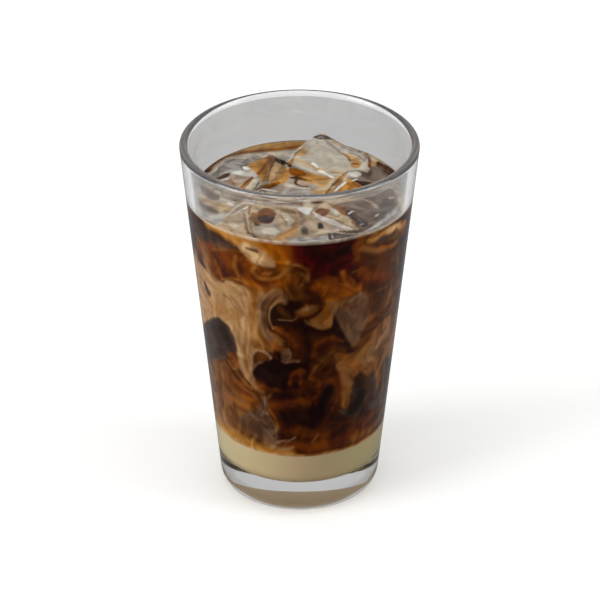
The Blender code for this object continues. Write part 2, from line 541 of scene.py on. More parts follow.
swirl = {
    "radius": 36.0,   # at which the side is unrolled, in millimetres
    "flows": {   # seed, drift, size of an eddy and steps of each flow that bends the strokes
        "calm": ((11, 0.35, 9.0, 3), (5, 0.22, 3.5, 2)),
        "stirred": ((11, 2.0, 12.0, 6), (5, 1.7, 5.5, 8)),
        "drawn": ((11, 4.0, 8.0, 10),),
        "hidden": ((23, 16.0, 19.0, 8),)},
    "hiddenFrom": (83, 108),   # degrees round from the front, where the last flow sets in
    "grains": {   # seed, size, octaves and depth
        "thread": (5, 3.4, 3, 0.42),
        "speckle": (11, 1.6, 2, 0.5),
        "streak": (11, 1.6, 3, 0.45)},
    "stretch": 0.6, "streakLength": 3.2, "streakGap": 3.7, "streakShare": 0.3,   # form of the streaks
    "fray": 3.2, "gaps": 0.35, "gapsFrom": (0.45, 0.8), "darkFrom": (0.25, 0.75),   # what they do to it
    "threadShade": 0.2, "speckleShade": 0.12,   # how much the grains shade the whole
    "eddyGap": 0.4, "margin": 6,   # how far apart the eddies are felt, and how far strokes may be carried
    "tones": {   # light and dark of the streaks, screen values
        "black": ((31, 19, 14), (22, 12, 9)),
        "umber": ((58, 29, 12), (42, 20, 9)),
        "maroon": ((66, 19, 8), (46, 12, 6)),
        "rust": ((106, 54, 20), (78, 37, 12)),
        "orange": ((150, 84, 28), (120, 63, 19)),
        "amber": ((174, 123, 66), (150, 99, 47)),
        "tan": ((178, 144, 105), (154, 119, 82)),
        "cream": ((200, 172, 130), (176, 144, 102)),
        "veil": ((102, 74, 54), (80, 56, 40)),
        "grey": ((92, 70, 54), (70, 50, 37)),
        "smoke": ((64, 50, 43), (48, 36, 30)),
        "olive": ((86, 50, 26), (64, 35, 17)),
        "flesh": ((152, 120, 90), (128, 98, 70)),
        "clay": ((130, 86, 48), (100, 62, 30)),
        "moss": ((118, 78, 44), (90, 56, 28)),
        "wheat": ((166, 128, 80), (146, 107, 62)),
        "sand": ((190, 158, 112), (170, 136, 92)),
        "caramel": ((176, 128, 66), (152, 102, 46)),
        "amberRing": ((172, 136, 92), (152, 116, 72)),
        "crema": ((188, 168, 138), (156, 134, 106)),
        "pale": ((202, 192, 174), (180, 168, 148)),
        "honey": ((178, 132, 72), (142, 98, 46)),
        "toffee": ((134, 80, 34), (96, 54, 21)),
        "bark": ((82, 58, 42), (54, 37, 26)),
        "ash": ((108, 96, 87), (80, 70, 63)),
        "slate": ((118, 104, 93), (98, 84, 74)),
        "stone": ((162, 153, 143), (134, 125, 115)),
        # frosted ice, and painted highlights along the edges of the blocks
        "frost": ((208, 203, 195), (184, 178, 170)),
        "steel": ((144, 138, 134), (116, 110, 106)),
        "cloud": ((180, 173, 160), (170, 162, 147)),
        "taupe": ((170, 150, 132), (146, 126, 108)),
        "char": ((52, 38, 30), (33, 23, 17)),
        "cocoa": ((128, 86, 52), (96, 62, 38)),
        # the next two tones are painted light: reflections and highlights on the ice and on the top of the
        # drink
        "painted_reflection": ((180, 177, 172), (156, 152, 147)),
        "glint": ((238, 236, 230), (222, 219, 212)),
    },
    # each stroke: tone, way, half width (0 fills a closed outline), softness, strength, raggedness
    "side": [   # ways in degrees round from the front and millimetres up
        ("umber", [(-90, 60), (90, 60)], 200, 1, 1.0, 0),
        ("rust", [(-71.5, 112.5), (-32, 121.5), (-4, 124), (-2, 113.5), (-5, 103.5), (-24.5, 101),
             (-46, 100.5), (-61.5, 103.5)], 0, 2.0, 0.95, 0.15),
        ("umber", [(-53.5, 112), (-48.5, 109.5), (-43, 106)], 1.5, 1.6, 0.7, 0.25),
        ("umber", [(-34.5, 113), (-32.5, 109.5)], 1.2, 1.4, 0.8, 0.25),
        ("umber", [(-27, 116.5), (-20, 113), (-13.5, 112.5)], 0.7, 1.0, 0.6, 0.2),
        ("smoke", [(-73, 116), (-57.5, 119), (-47.5, 119.5), (-39, 119.5), (-31, 120)], (4.6, 0.8), 1.4,
             0.95, 0.1),
        ("grey", [(-51, 116.5), (-40.5, 118)], 1.2, 1.4, 0.6, 0.2),
        ("clay", [(-68, 113.5), (-62.5, 112), (-59, 108.5)], 1.5, 1.5, 0.8, 0.2),
        ("amber", [(-53, 114), (-43.5, 116.5), (-34, 118), (-29, 118.5)], 0.3, 1.0, 0.28, 0.1),
        ("amber", [(-56, 124.5), (-45, 124.5), (-34.5, 123), (-25, 123), (-17.5, 123)], (1.4, 3.0), 1.5,
             1.0, 0.12),
        ("amber", [(-25, 123.5), (-18.5, 122), (-14.5, 119)], (2.2, 1.6), 1.6, 0.7, 0.1),
        ("orange", [(-16.5, 124), (-12, 121), (-8, 117.5), (-8, 114)], (2.8, 2.2), 2.0, 1.0, 0.12),
        ("rust", [(-6, 124), (-4.5, 119.5), (-4.5, 114.5)], 1.8, 2.0, 0.9, 0.15),
        ("maroon", [(-1.5, 124), (-1, 118.5), (-1, 115)], 1.8, 1.8, 0.9, 0.1),
        ("orange", [(-28, 104), (-19.5, 103.5), (-9.5, 107)], 1.9, 2.0, 0.75, 0.2),
        ("umber", [(-46.5, 106.5), (-41, 105)], 0.7, 1.0, 0.6, 0.2),
        ("amber", [(-35.5, 116), (-37.5, 112.5), (-35.5, 108.5), (-30, 105)], (0.4, 0.9), 1.2, 0.35, 0.1),
        ("amber", [(-51.5, 109.5), (-49, 106), (-47, 103)], 0.4, 1.0, 0.28, 0.1),
        ("tan", [(-33, 120.5), (-28.5, 122.5), (-23, 122.5), (-18.5, 120.5), (-15.5, 118.5), (-13, 115.5),
             (-14.5, 114), (-19, 114.5), (-23.5, 114.5), (-27.5, 116), (-31, 118)], 0, 1.0, 0.95, 0.03),
        ("cream", [(-29, 121.5), (-24.5, 119), (-19.5, 117)], 1.1, 1.4, 0.6, 0.05),
        ("rust", [(-31, 117), (-27.5, 115.5), (-23.5, 114)], 0.3, 0.8, 0.5, 0.1),
        ("cream", [(-22, 118), (-17, 116.5), (-13.5, 115)], 0.25, 0.5, 0.6, 0.05),
        ("cream", [(-25.5, 117.5), (-21, 116), (-17.5, 114.5)], 0.25, 0.5, 0.5, 0.05),
        ("amber", [(-19.5, 120.5), (-16, 118.5), (-13.5, 115.5)], 0.5, 0.9, 0.6, 0.2),
        ("orange", [(-28, 115.5), (-24.5, 113.5), (-20.5, 113)], 0.4, 0.9, 0.6, 0.3),
        ("umber", [(-28, 120.5), (-26, 120.5), (-22.5, 120.5)], (0.5, 0.75), 0.55, 0.95, 0),
        ("amber", [(-24.5, 113), (-25.5, 111), (-24, 109.5), (-20, 108.5), (-14.5, 109), (-9.5, 111),
             (-6.5, 114), (-6.5, 116.5)], (0.5, 0.8), 1.0, 0.62, 0.08),
        ("clay", [(-23, 111.5), (-19, 111), (-14, 112), (-10.5, 114)], 0.6, 0.9, 0.7, 0.15),
        ("rust", [(-22.5, 110), (-17, 110), (-12, 112)], 0.3, 0.7, 0.6, 0.1),
        ("olive", [(-3.5, 113.5), (-4.5, 107), (-1, 102)], (2.2, 3.2), 2.0, 0.9, 0.2),
        ("clay", [(-6, 114), (-2.5, 115.5), (1.5, 115), (4, 113), (4, 109)], (0.4, 0.65), 0.8, 0.85, 0.08),
        ("clay", [(-3.5, 111), (-1, 112.5), (2, 111), (2, 107)], (0.3, 0.5), 0.7, 0.55, 0.1),
        ("clay", [(-6.5, 111), (-8, 106.5), (-5, 102.5), (-1.5, 99)], 0.4, 0.8, 0.42, 0.1),
        ("clay", [(0.5, 104.5), (4.5, 102)], 0.9, 1.6, 0.4, 0.25),
        ("umber", [(4.5, 108), (5.5, 102.5), (9, 100)], 1.2, 1.6, 0.7, 0.2),
        ("maroon", [(1, 125), (1.5, 117), (4, 114.5), (10, 113.5), (16.5, 112), (23, 111), (28, 111.5),
             (30.5, 116.5), (29.5, 125), (15.5, 125)], 0, 1.3, 1.0, 0.08),
        ("black", [(6.5, 123), (15, 119), (23.5, 120.5)], 3.4, 2.8, 0.85, 0.1),
        ("maroon", [(4.5, 113), (9, 111.5), (16.5, 110.5)], 1.3, 1.6, 0.8, 0.2),
        ("rust", [(32, 125), (32.5, 118.5), (34, 113)], 1.9, 1.8, 0.9, 0.12),
        ("olive", [(36.5, 121), (43, 113), (62.5, 104.5)], (3.0, 4.0), 2.5, 0.95, 0.15),
        ("clay", [(43, 124.5), (54.5, 120.5), (68, 117)], 2.2, 2.0, 0.8, 0.2),
        ("clay", [(34.5, 119), (42.5, 116.5), (50.5, 115), (61, 114)], 0.9, 1.0, 0.9, 0.15),
        ("orange", [(47, 116.5), (59.5, 114)], 0.6, 0.9, 0.6, 0.15),
        ("amber", [(38, 122), (44, 121.5), (50.5, 122.5), (59.5, 121.5), (71, 119)], (0.5, 1.7), 1.1, 0.85,
             0.2),
        ("smoke", [(46, 119.5), (49.5, 120), (57.5, 119)], (1.2, 0.9), 0.9, 0.95, 0.15),
        ("cream", [(52, 122.5), (59.5, 121.5), (65.5, 120)], 0.8, 0.9, 0.8, 0.2),
        ("umber", [(41.5, 113.5), (57, 109)], 1.3, 2.0, 0.6, 0.2),
        ("rust", [(35.5, 108), (48, 103), (62, 98.5)], 2.2, 2.0, 0.85, 0.15),
        ("clay", [(29.5, 110), (33, 110), (35.5, 111)], 0.25, 0.45, 0.49, 0),
        ("grey", [(64, 114), (66.5, 103.5), (67, 92)], 1.5, 1.8, 0.6, 0.1),
        ("rust", [(6.5, 106.5), (9, 109.5), (14, 110.5), (20.5, 109), (23, 111.5), (26, 110.5), (30, 107.5),
             (35.5, 103.5), (37.5, 100), (30.5, 100), (26.5, 98.5), (20.5, 97.5), (15.5, 98), (12, 101),
             (8.5, 104)], 0, 0.9, 0.95, 0.15),
        ("orange", [(17, 99.5), (23, 99.5), (29, 100.5), (33.5, 102)], 1.3, 1.4, 0.65, 0.2),
        ("orange", [(24, 111), (24.5, 107), (28.5, 104), (34, 101)], (0.7, 0.9), 0.8, 0.75, 0.12),
        ("amber", [(22.5, 105.5), (27.5, 104), (33.5, 100.5)], 0.3, 0.6, 0.42, 0.05),
        ("amber", [(28, 107.5), (31, 104.5)], 0.3, 0.6, 0.28, 0.1),
        ("umber", [(10, 110.5), (15.5, 109), (20, 107)], 0.6, 1.0, 0.5, 0.25),
        ("orange", [(11, 107.5), (14, 103.5)], 0.9, 1.2, 0.4, 0.2),
        ("maroon", [(31.5, 107), (33.5, 105)], 0.7, 0.6, 0.95, 0.05),
        ("maroon", [(37, 102.5), (38.5, 100.5)], 0.4, 0.6, 0.7, 0.1),
        ("olive", [(37, 99.5), (50.5, 98.5), (62.5, 98), (73.5, 97.5), (98, 58.5), (49.5, 77), (40, 75.5),
             (31, 77.5)], 0, 1.6, 0.95, 0.15),
        ("veil", [(15.5, 98), (20.5, 98.5), (29, 99.5), (36.5, 99.5), (43.5, 94), (43, 86), (38.5, 80),
             (33.5, 76), (29.5, 78.5), (25, 85), (20.5, 92)], 0, 0.7, 0.95, 0.12),
        ("clay", [(16, 97.5), (22, 96.5), (26.5, 97.5)], 1.3, 1.5, 0.75, 0.15),
        ("olive", [(26.5, 96.5), (30.5, 94), (34, 94)], 0.8, 1.1, 0.85, 0.15),
        ("flesh", [(29.5, 97.5), (35.5, 99)], 0.5, 1.0, 0.55, 0.15),
        ("smoke", [(31.5, 87), (34, 81), (33, 77.5)], 0.8, 1.4, 0.45, 0.1),
        ("flesh", [(27, 90.5), (30.5, 83.5)], 0.25, 0.8, 0.24, 0.1),
        ("flesh", [(33.5, 91), (33, 85)], 0.25, 0.8, 0.17, 0.1),
        ("smoke", [(55, 95), (52, 92), (49.5, 88.5)], (1.0, 0.7), 0.8, 0.9, 0.05),
        ("clay", [(62, 97.5), (61.5, 91), (59, 86.5)], 0.8, 1.1, 0.8, 0.12),
        ("flesh", [(49, 97), (57.5, 96.5)], 0.3, 0.7, 0.35, 0.1),
        ("clay", [(42, 91.5), (45.5, 85.5)], 0.9, 1.6, 0.45, 0.2),
        ("clay", [(69.5, 86), (65, 79.5), (54.5, 76), (44, 72.5)], (1.5, 3.2), 1.9, 0.9, 0.15),
        ("flesh", [(62.5, 78.5), (53, 74)], 1.2, 1.8, 0.5, 0.2),
        ("black", [(-12.5, 98.5), (-8.5, 100), (-3, 100.5), (1.5, 99.5), (2.5, 96), (-1, 94.5), (-5.5, 92),
             (-12, 91.5), (-17.5, 90), (-19, 92.5), (-16.5, 96)], 0, 1.0, 0.9, 0.15),
        ("black", [(-18, 89), (-10, 88.5), (0.5, 89)], 2.0, 1.8, 0.85, 0.2),
        ("olive", [(-9.5, 96), (-7.5, 93)], 1.0, 1.4, 0.6, 0.3),
        ("black", [(1.5, 86.5), (9.5, 86), (18, 85)], 2.0, 2.0, 0.9, 0.2),
        ("black", [(2.5, 84), (5, 76.5), (4, 70)], (2.4, 1.8), 1.6, 0.9, 0.15),
        ("black", [(18, 93), (21, 91), (24, 86.5), (27.5, 81.5), (31, 77), (23, 78.5), (18.5, 84.5)], 0,
             0.8, 0.9, 0.1),
        ("clay", [(-2.5, 94), (0.5, 96.5), (4.5, 97.5), (9, 97.5), (11, 96), (9, 94), (6, 93), (1.5, 93)],
             0, 0.9, 0.7, 0.3),
        ("rust", [(-1, 94), (3.5, 93.5), (8, 94.5)], 0.5, 0.7, 0.6, 0.2),
        ("flesh", [(2.5, 96), (7.5, 96.5)], 0.4, 0.9, 0.5, 0.15),
        ("clay", [(6, 91.5), (10.5, 93), (13, 95), (16.5, 96), (19, 93.5), (19, 88.5), (16.5, 86.5),
             (11, 87), (6.5, 88.5)], 0, 0.8, 0.9, 0.15),
        ("orange", [(14.5, 96), (15.5, 91.5)], 0.9, 1.1, 0.5, 0.15),
        ("umber", [(14, 98.5), (12.5, 95.5), (9.5, 93), (5, 92)], 0.35, 0.5, 0.85, 0.05),
        ("flesh", [(3, 91), (6, 89), (10.5, 87)], 0.22, 0.4, 0.39, 0.05),
        ("flesh", [(-11.5, 91), (-6.5, 91), (-3, 91.5), (-0.5, 93)], 0.2, 0.4, 0.42, 0.05),
        ("rust", [(-11, 86), (-6.5, 83.5), (-3, 80)], 1.1, 1.4, 0.8, 0.25),
        ("orange", [(-13.5, 87), (-10, 85)], 0.5, 0.8, 0.6, 0.15),
        ("umber", [(-5.5, 87.5), (-1, 83), (0.5, 77.5)], 1.4, 1.8, 0.7, 0.2),
        ("clay", [(-29, 102.5), (-20.5, 105), (-15, 104), (-10.5, 102.5), (-8.5, 100), (-12.5, 98.5),
             (-17, 96), (-20.5, 91.5), (-19.5, 87), (-15.5, 84), (-10, 81), (-14, 77), (-25.5, 75.5),
             (-33.5, 75.5), (-33.5, 87.5)], 0, 1.2, 0.95, 0.25),
        ("grey", [(-12.5, 104), (-17, 100), (-20, 95.5), (-21.5, 90.5), (-20, 86), (-16.5, 82.5)],
             (1.5, 1.0), 0.9, 0.85, 0.1),
        ("umber", [(-11, 102), (-15.5, 98.5), (-18, 93.5), (-18, 89), (-16, 86)], (0.5, 0.9), 0.6, 0.8,
             0.05),
        ("flesh", [(-8.5, 100), (-11.5, 99.5), (-15, 96.5), (-17, 93), (-17, 89.5), (-14.5, 86.5)], 0.28,
             0.42, 0.56, 0.05),
        ("veil", [(-8, 99), (-7.5, 101.5), (-10, 103.5), (-13.5, 105), (-16, 106.5)], (0.8, 0.35), 0.7,
             0.75, 0.08),
        ("veil", [(-12.5, 99), (-11, 101.5)], 0.6, 0.7, 0.6, 0.1),
        ("flesh", [(-15, 104), (-20, 100), (-22.5, 95.5), (-23, 89.5), (-21.5, 85), (-18, 80.5)],
             (0.35, 0.6), 0.6, 0.55, 0.08),
        ("flesh", [(-18, 101.5), (-22.5, 96.5), (-24.5, 91), (-24, 85), (-20.5, 80)], 0.22, 0.5, 0.35,
             0.05),
        ("clay", [(-12.5, 102.5), (-17, 98), (-19, 92.5), (-18.5, 87.5), (-15.5, 82.5)], 0.22, 0.4, 0.5,
             0.05),
        ("flesh", [(-21, 102), (-24, 97.5), (-25.5, 91.5)], 0.45, 0.8, 0.5, 0.12),
        ("orange", [(-27.5, 101.5), (-26, 98), (-27, 92.5), (-29, 85)], (0.5, 0.8), 1.0, 0.75, 0.12),
        ("rust", [(-24, 102), (-23.5, 98)], 0.5, 0.9, 0.5, 0.2),
        ("rust", [(-20, 81.5), (-16.5, 78.5), (-11.5, 76.5)], 1.2, 1.3, 0.7, 0.25),
        ("amber", [(-27, 88), (-26, 82.5), (-22.5, 78.5)], 0.7, 1.2, 0.5, 0.15),
        ("tan", [(-84.5, 99.5), (-68.5, 102), (-60, 101.5), (-54.5, 100), (-47.5, 100), (-42.5, 103),
             (-36, 103.5), (-30.5, 103), (-28, 99.5), (-29.5, 92), (-30, 83.5), (-30, 74.5), (-31.5, 69),
             (-31, 64.5), (-27.5, 58.5), (-30, 57.5), (-34, 60), (-39, 63.5), (-40.5, 67.5), (-40.5, 74.5),
             (-42.5, 79), (-46, 81.5), (-51, 83), (-58, 82), (-68.5, 77.5), (-98, 61)], 0, 1.0, 1.0, 0.1),
        ("flesh", [(-74, 103.5), (-69.5, 95.5), (-67, 87.5), (-64, 82.5)], 2.0, 2.4, 0.75, 0.1),
        ("clay", [(-64.5, 106), (-58.5, 103.5), (-52.5, 101.5)], 0.8, 1.3, 0.5, 0.1),
        ("amber", [(-61, 84), (-48, 89.5), (-39, 88), (-36, 82.5)], 1.8, 2.6, 0.4, 0.15),
        ("cream", [(-49, 98), (-40.5, 98.5)], 2.0, 2.0, 0.6, 0.2),
        ("cream", [(-43.5, 102.5), (-36.5, 102.5), (-30.5, 101)], 0.55, 0.7, 0.55, 0.1),
        ("flesh", [(-38.5, 96.5), (-36, 93.5), (-33.5, 90)], 0.8, 0.9, 0.75, 0.1),
        ("cream", [(-35, 97.5), (-32.5, 94.5), (-32, 90.5)], 0.35, 0.7, 0.45, 0.1),
        ("flesh", [(-58.5, 102.5), (-55, 98), (-54, 91)], 1.3, 1.8, 0.5, 0.15),
        ("clay", [(-38, 95), (-36, 91)], 0.4, 0.9, 0.32, 0.1),
        ("flesh", [(-46, 92), (-43, 87.5), (-38.5, 81)], 1.2, 1.6, 0.5, 0.15),
        ("flesh", [(-30.5, 100.5), (-30.5, 94.5)], 0.6, 1.1, 0.5, 0.1),
        ("wheat", [(-62, 88.5), (-54, 87), (-43.5, 88.5), (-36.5, 84)], (2.2, 1.4), 2.4, 0.7, 0.1),
        ("wheat", [(-54, 101.5), (-48, 97), (-45.5, 93.5)], 1.2, 2.0, 0.45, 0.1),
        ("wheat", [(-40, 100), (-33.5, 98), (-31.5, 92.5)], 0.7, 1.4, 0.5, 0.1),
        ("wheat", [(-32, 87), (-34, 78.5), (-35.5, 70.5)], 0.7, 1.4, 0.6, 0.1),
        ("flesh", [(-37, 99.5), (-33, 95), (-31.5, 89), (-31.5, 79), (-31.5, 69)], (0.8, 1.3), 1.5, 0.6,
             0.3),
        ("clay", [(-32.5, 102), (-29, 97.5), (-28.5, 90), (-30, 82), (-29.5, 74.5)], (0.5, 0.8), 0.9, 0.6,
             0.25),
        ("flesh", [(-41, 97.5), (-36.5, 94.5), (-34, 89)], 0.9, 1.0, 0.6, 0.3),
        ("veil", [(-40, 96.5), (-36, 93.5), (-33, 90)], 0.35, 0.6, 0.6, 0.2),
        ("clay", [(-36, 100.5), (-33.5, 97.5), (-31.5, 93.5)], 0.3, 0.6, 0.5, 0.2),
        ("flesh", [(-48.5, 96), (-43, 95), (-41, 94.5)], 0.4, 0.7, 0.5, 0.2),
        ("sand", [(-46.5, 98), (-41.5, 97.5), (-37.5, 97.5)], 0.5, 0.8, 0.5, 0.1),
        ("flesh", [(-40, 81.5), (-38, 75.5), (-37, 69.5), (-34, 63.5)], 0.4, 0.8, 0.5, 0.2),
        ("wheat", [(-65, 94), (-62, 88.5), (-57.5, 84.5)], 0.9, 1.2, 0.5, 0.2),
        ("grey", [(-46.5, 95.5), (-44, 95.5), (-41.5, 95)], 0.4, 0.5, 0.6, 0.05),
        ("cream", [(-34.5, 88), (-35, 81), (-37.5, 72)], 0.9, 1.3, 0.5, 0.1),
        ("clay", [(-30, 91), (-31, 83.5), (-32.5, 76)], 0.45, 0.9, 0.6, 0.1),
        ("amber", [(-47.5, 102), (-39.5, 105), (-32.5, 105.5), (-28, 103.5)], 0.35, 0.6, 0.52, 0.12),
        ("smoke", [(-66.5, 95), (-64.5, 93.5), (-62.5, 92)], (1.0, 1.7), 0.7, 0.95, 0),
        ("clay", [(-33.5, 74), (-34.5, 68.5), (-32.5, 64)], 0.45, 0.8, 0.6, 0.1),
        ("cream", [(-36.5, 72.5), (-37.5, 67.5), (-35, 63), (-31, 59)], (0.6, 0.25), 0.7, 0.55, 0.08),
        ("clay", [(-37, 99.5), (-36, 88.5), (-36, 78), (-34.5, 66.5)], 3.2, 3.0, 0.24, 0.2),
        ("clay", [(-35.5, 75), (-35, 68), (-32, 62), (-27.5, 58)], (1.2, 1.8), 1.2, 0.7, 0.25),
        ("flesh", [(-37.5, 73), (-36.5, 67.5), (-33.5, 63)], 0.35, 0.6, 0.6, 0.1),
        ("clay", [(-31, 58.5), (-27, 57), (-23, 56.5)], 0.5, 0.9, 0.6, 0.1),
        ("smoke", [(-98, 61), (-73, 75), (-61, 81), (-54, 83.5), (-50, 83), (-45.5, 82), (-42.5, 79),
             (-41, 75), (-40.5, 72.5), (-43.5, 70), (-49, 68), (-56, 63.5), (-67, 59.5), (-90, 52),
             (-98, 39)], 0, 0.7, 1.0, 0.05),
        ("black", [(-52, 79), (-46.5, 75.5), (-45.5, 71.5)], 2.0, 2.2, 0.65, 0.08),
        ("grey", [(-86, 67.5), (-82, 62), (-75, 58)], 1.4, 1.8, 0.6, 0.08),
        ("clay", [(-85.5, 51.5), (-56, 63.5), (-42.5, 66.5), (-35.5, 60.5), (-26, 56), (-25, 47.5),
             (-29, 37.5), (-45, 32), (-66.5, 31.5), (-86, 37)], 0, 2.0, 0.75, 0.2),
        ("rust", [(-52.5, 61), (-42.5, 55.5), (-32, 51), (-26.5, 47.5)], (2.0, 3.0), 2.2, 0.75, 0.2),
        ("flesh", [(-73.5, 53), (-68, 46), (-65, 38.5), (-57.5, 33.5)], (1.0, 1.6), 1.8, 0.6, 0.12),
        ("grey", [(-87.5, 52.5), (-77, 51), (-68.5, 48.5)], 1.2, 1.6, 0.5, 0.1),
        ("orange", [(-48, 68.5), (-43.5, 69), (-42.5, 66)], (0.8, 1.2), 1.2, 0.6, 0.1),
        ("umber", [(-51.5, 65), (-47.5, 62), (-42, 59.5), (-34.5, 57), (-28, 55.5)], (0.7, 0.9), 0.7, 0.85,
             0.1),
        ("umber", [(-41, 63.5), (-37, 61), (-32.5, 58.5)], 0.45, 0.6, 0.85, 0.05),
        ("clay", [(-48, 65), (-42.5, 61.5), (-35, 58), (-31.5, 56.5)], 0.32, 0.5, 0.63, 0.08),
        ("orange", [(-39.5, 58), (-35, 58), (-32, 56.5)], 0.35, 0.6, 0.5, 0.1),
        ("flesh", [(-75, 54.5), (-74.5, 44.5), (-71, 36.5), (-62, 31), (-54, 29)], (0.7, 1.3), 1.5, 0.55,
             0.2),
        ("veil", [(-66, 51), (-63.5, 43), (-55.5, 36), (-47, 32.5)], (0.5, 1.0), 1.3, 0.5, 0.2),
        ("umber", [(-44.5, 55.5), (-36.5, 54), (-26.5, 54)], 0.6, 0.8, 0.7, 0.15),
        ("orange", [(-59.5, 57.5), (-51, 54), (-41.5, 52), (-32, 51.5)], 0.6, 1.2, 0.5, 0.15),
        ("umber", [(-58.5, 53.5), (-49, 51), (-42, 50)], 0.4, 0.9, 0.45, 0.15),
        ("orange", [(-51.5, 48), (-44, 47.5), (-36.5, 47.5)], 0.5, 1.0, 0.5, 0.15),
        ("umber", [(-48, 45.5), (-37.5, 45), (-29.5, 46)], 0.7, 1.1, 0.6, 0.15),
        ("clay", [(-30.5, 54), (-24.5, 53), (-19.5, 55), (-15, 58.5)], 0.45, 0.8, 0.6, 0.12),
        ("rust", [(-27, 60), (-20, 58.5), (-13, 58.5)], 1.0, 1.1, 0.7, 0.2),
        ("umber", [(-27.5, 54), (-24, 51)], 0.7, 0.9, 0.7, 0.1),
        ("olive", [(-28.5, 68.5), (-29, 72), (-25.5, 74.5), (-21.5, 75), (-19, 73.5), (-22.5, 71)], 0, 0.6,
             0.95, 0.12),
        ("umber", [(-28, 69.5), (-26, 73)], 0.5, 0.7, 0.7, 0.15),
        ("flesh", [(-31, 66), (-31, 70.5), (-28, 74), (-23.5, 76), (-19.5, 75), (-17.5, 73)], (0.8, 0.4),
             0.6, 0.75, 0.08),
        ("flesh", [(-30.5, 64.5), (-27.5, 68), (-23, 70.5)], 0.4, 0.6, 0.39, 0.08),
        ("clay", [(-22.5, 78.5), (-18, 79.5), (-14, 78), (-9, 78)], 0.5, 0.8, 0.75, 0.15),
        ("orange", [(-16.5, 78.5), (-14.5, 78)], 0.5, 0.7, 0.6, 0.15),
        ("veil", [(-11, 77), (-7, 77.5), (-5, 74), (0.5, 72.5), (-4.5, 72), (-8, 71.5), (-10.5, 74)], 0,
             0.7, 0.8, 0.2),
        ("flesh", [(-7, 78), (-5.5, 74.5), (-7.5, 72.5)], 0.3, 0.5, 0.42, 0.1),
        ("flesh", [(-11.5, 74), (-9.5, 71.5), (-5.5, 72), (-1, 72.5)], 0.3, 0.5, 0.39, 0.08),
        ("black", [(-13, 75.5), (-11.5, 73)], 0.7, 0.6, 0.95, 0.05),
        ("black", [(-30, 64.5), (-27, 67.5), (-22.5, 70.5), (-18.5, 72), (-15, 73), (-11.5, 72), (-8, 71),
             (-4.5, 71.5), (1.5, 71.5), (1.5, 69.5), (-4, 67.5), (-6.5, 64.5), (-7, 60.5), (-10, 58),
             (-13.5, 59.5), (-18.5, 60), (-25, 62.5)], 0, 0.7, 1.0, 0.08),
        ("black", [(-4.5, 62), (-1.5, 63), (0.5, 61), (-3, 59.5)], 0, 0.6, 0.85, 0.15),
        ("rust", [(-6.5, 62), (-5, 65.5), (-1.5, 67.5), (1.5, 68)], 0.7, 0.9, 0.75, 0.2),
        ("rust", [(1, 69), (0.5, 62)], 0.6, 0.8, 0.6, 0.1),
        ("black", [(-15.5, 57), (-6, 55.5)], 1.6, 1.6, 0.75, 0.2),
        ("rust", [(-18, 51), (-7.5, 53), (3, 54.5)], 1.3, 1.8, 0.6, 0.25),
        ("rust", [(-16, 39.5), (0.5, 39.5), (19.5, 37)], 1.3, 2.0, 0.5, 0.25),
        ("rust", [(-8, 32), (14, 32.5), (37, 32.5), (59, 33)], (2.2, 2.0), 2.4, 0.85, 0.15),
        ("black", [(-12.5, 48), (-5, 50), (5.5, 51), (14.5, 52), (17.5, 47.5), (15, 42.5), (9.5, 41),
             (0.5, 42.5), (-7.5, 43), (-13.5, 44.5)], 0, 1.4, 0.9, 0.12),
        ("umber", [(0.5, 39.5), (22, 39.5)], 1.0, 1.5, 0.6, 0.2),
        ("black", [(17, 59.5), (20, 60), (22, 57.5), (21, 54.5), (18.5, 52.5), (14.5, 50), (12.5, 53),
             (14.5, 57)], 0, 0.7, 0.95, 0.05),
        ("rust", [(13.5, 61), (20.5, 61.5), (25, 57), (24.5, 52.5), (21.5, 48.5)], 0.7, 1.2, 0.45, 0.15),
        ("rust", [(11.5, 61.5), (11.5, 56.5), (6.5, 53.5)], 0.6, 1.1, 0.5, 0.15),
        ("rust", [(8, 74.5), (9, 79), (14, 81.5), (20.5, 82), (25.5, 79.5)], 0.7, 1.2, 0.55, 0.15),
        ("olive", [(10, 68), (16, 73.5), (23.5, 75)], (1.2, 2.8), 1.8, 0.85, 0.2),
        ("clay", [(6, 64.5), (9.5, 68.5), (15, 73), (20, 76)], (0.3, 0.6), 1.0, 0.45, 0.12),
        ("umber", [(10, 65.5), (16.5, 68), (22.5, 68.5)], 1.1, 1.3, 0.75, 0.2),
        ("clay", [(12, 67.5), (16, 70)], 0.3, 0.6, 0.35, 0.15),
        ("rust", [(7, 64.5), (14, 62.5), (22, 63)], 0.7, 1.2, 0.5, 0.2),
        ("moss", [(21, 74.5), (27.5, 73.5), (33, 73), (38.5, 74.5), (44.5, 76.5), (51, 80), (63.5, 80.5),
             (93, 72), (98, 52.5), (71.5, 60), (64, 60), (63, 56), (61.5, 48.5), (58.5, 50), (55.5, 56.5),
             (51.5, 59.5), (46.5, 59), (42.5, 61.5), (38.5, 62), (35.5, 59.5), (35, 55), (35, 49.5),
             (32.5, 47.5), (29.5, 49), (27.5, 54.5), (26.5, 61.5), (24, 67.5)], 0, 0.9, 0.95, 0.12),
        ("flesh", [(51, 70.5), (58.5, 72.5), (65, 76)], 1.8, 2.2, 0.45, 0.25),
        ("flesh", [(43, 66), (54, 67)], 1.0, 1.8, 0.35, 0.25),
        ("orange", [(28.5, 72), (33.5, 68), (39.5, 64)], 1.5, 1.8, 0.35, 0.2),
        ("rust", [(28.5, 50), (27.5, 57.5), (25.5, 65.5)], 0.6, 0.8, 0.6, 0.1),
        ("rust", [(31.5, 48.5), (31.5, 54)], 0.3, 0.8, 0.5, 0.1),
        ("olive", [(42.5, 62), (45.5, 62.5), (48.5, 60)], 0.45, 0.7, 0.75, 0.08),
        ("smoke", [(35.5, 54), (35, 58), (37, 60), (39, 61), (41.5, 60.5), (45.5, 58.5), (49, 59), (53, 58),
             (56, 55.5), (57.5, 51), (63.5, 46.5), (70, 41.5), (68, 39.5), (59, 40.5), (52, 42),
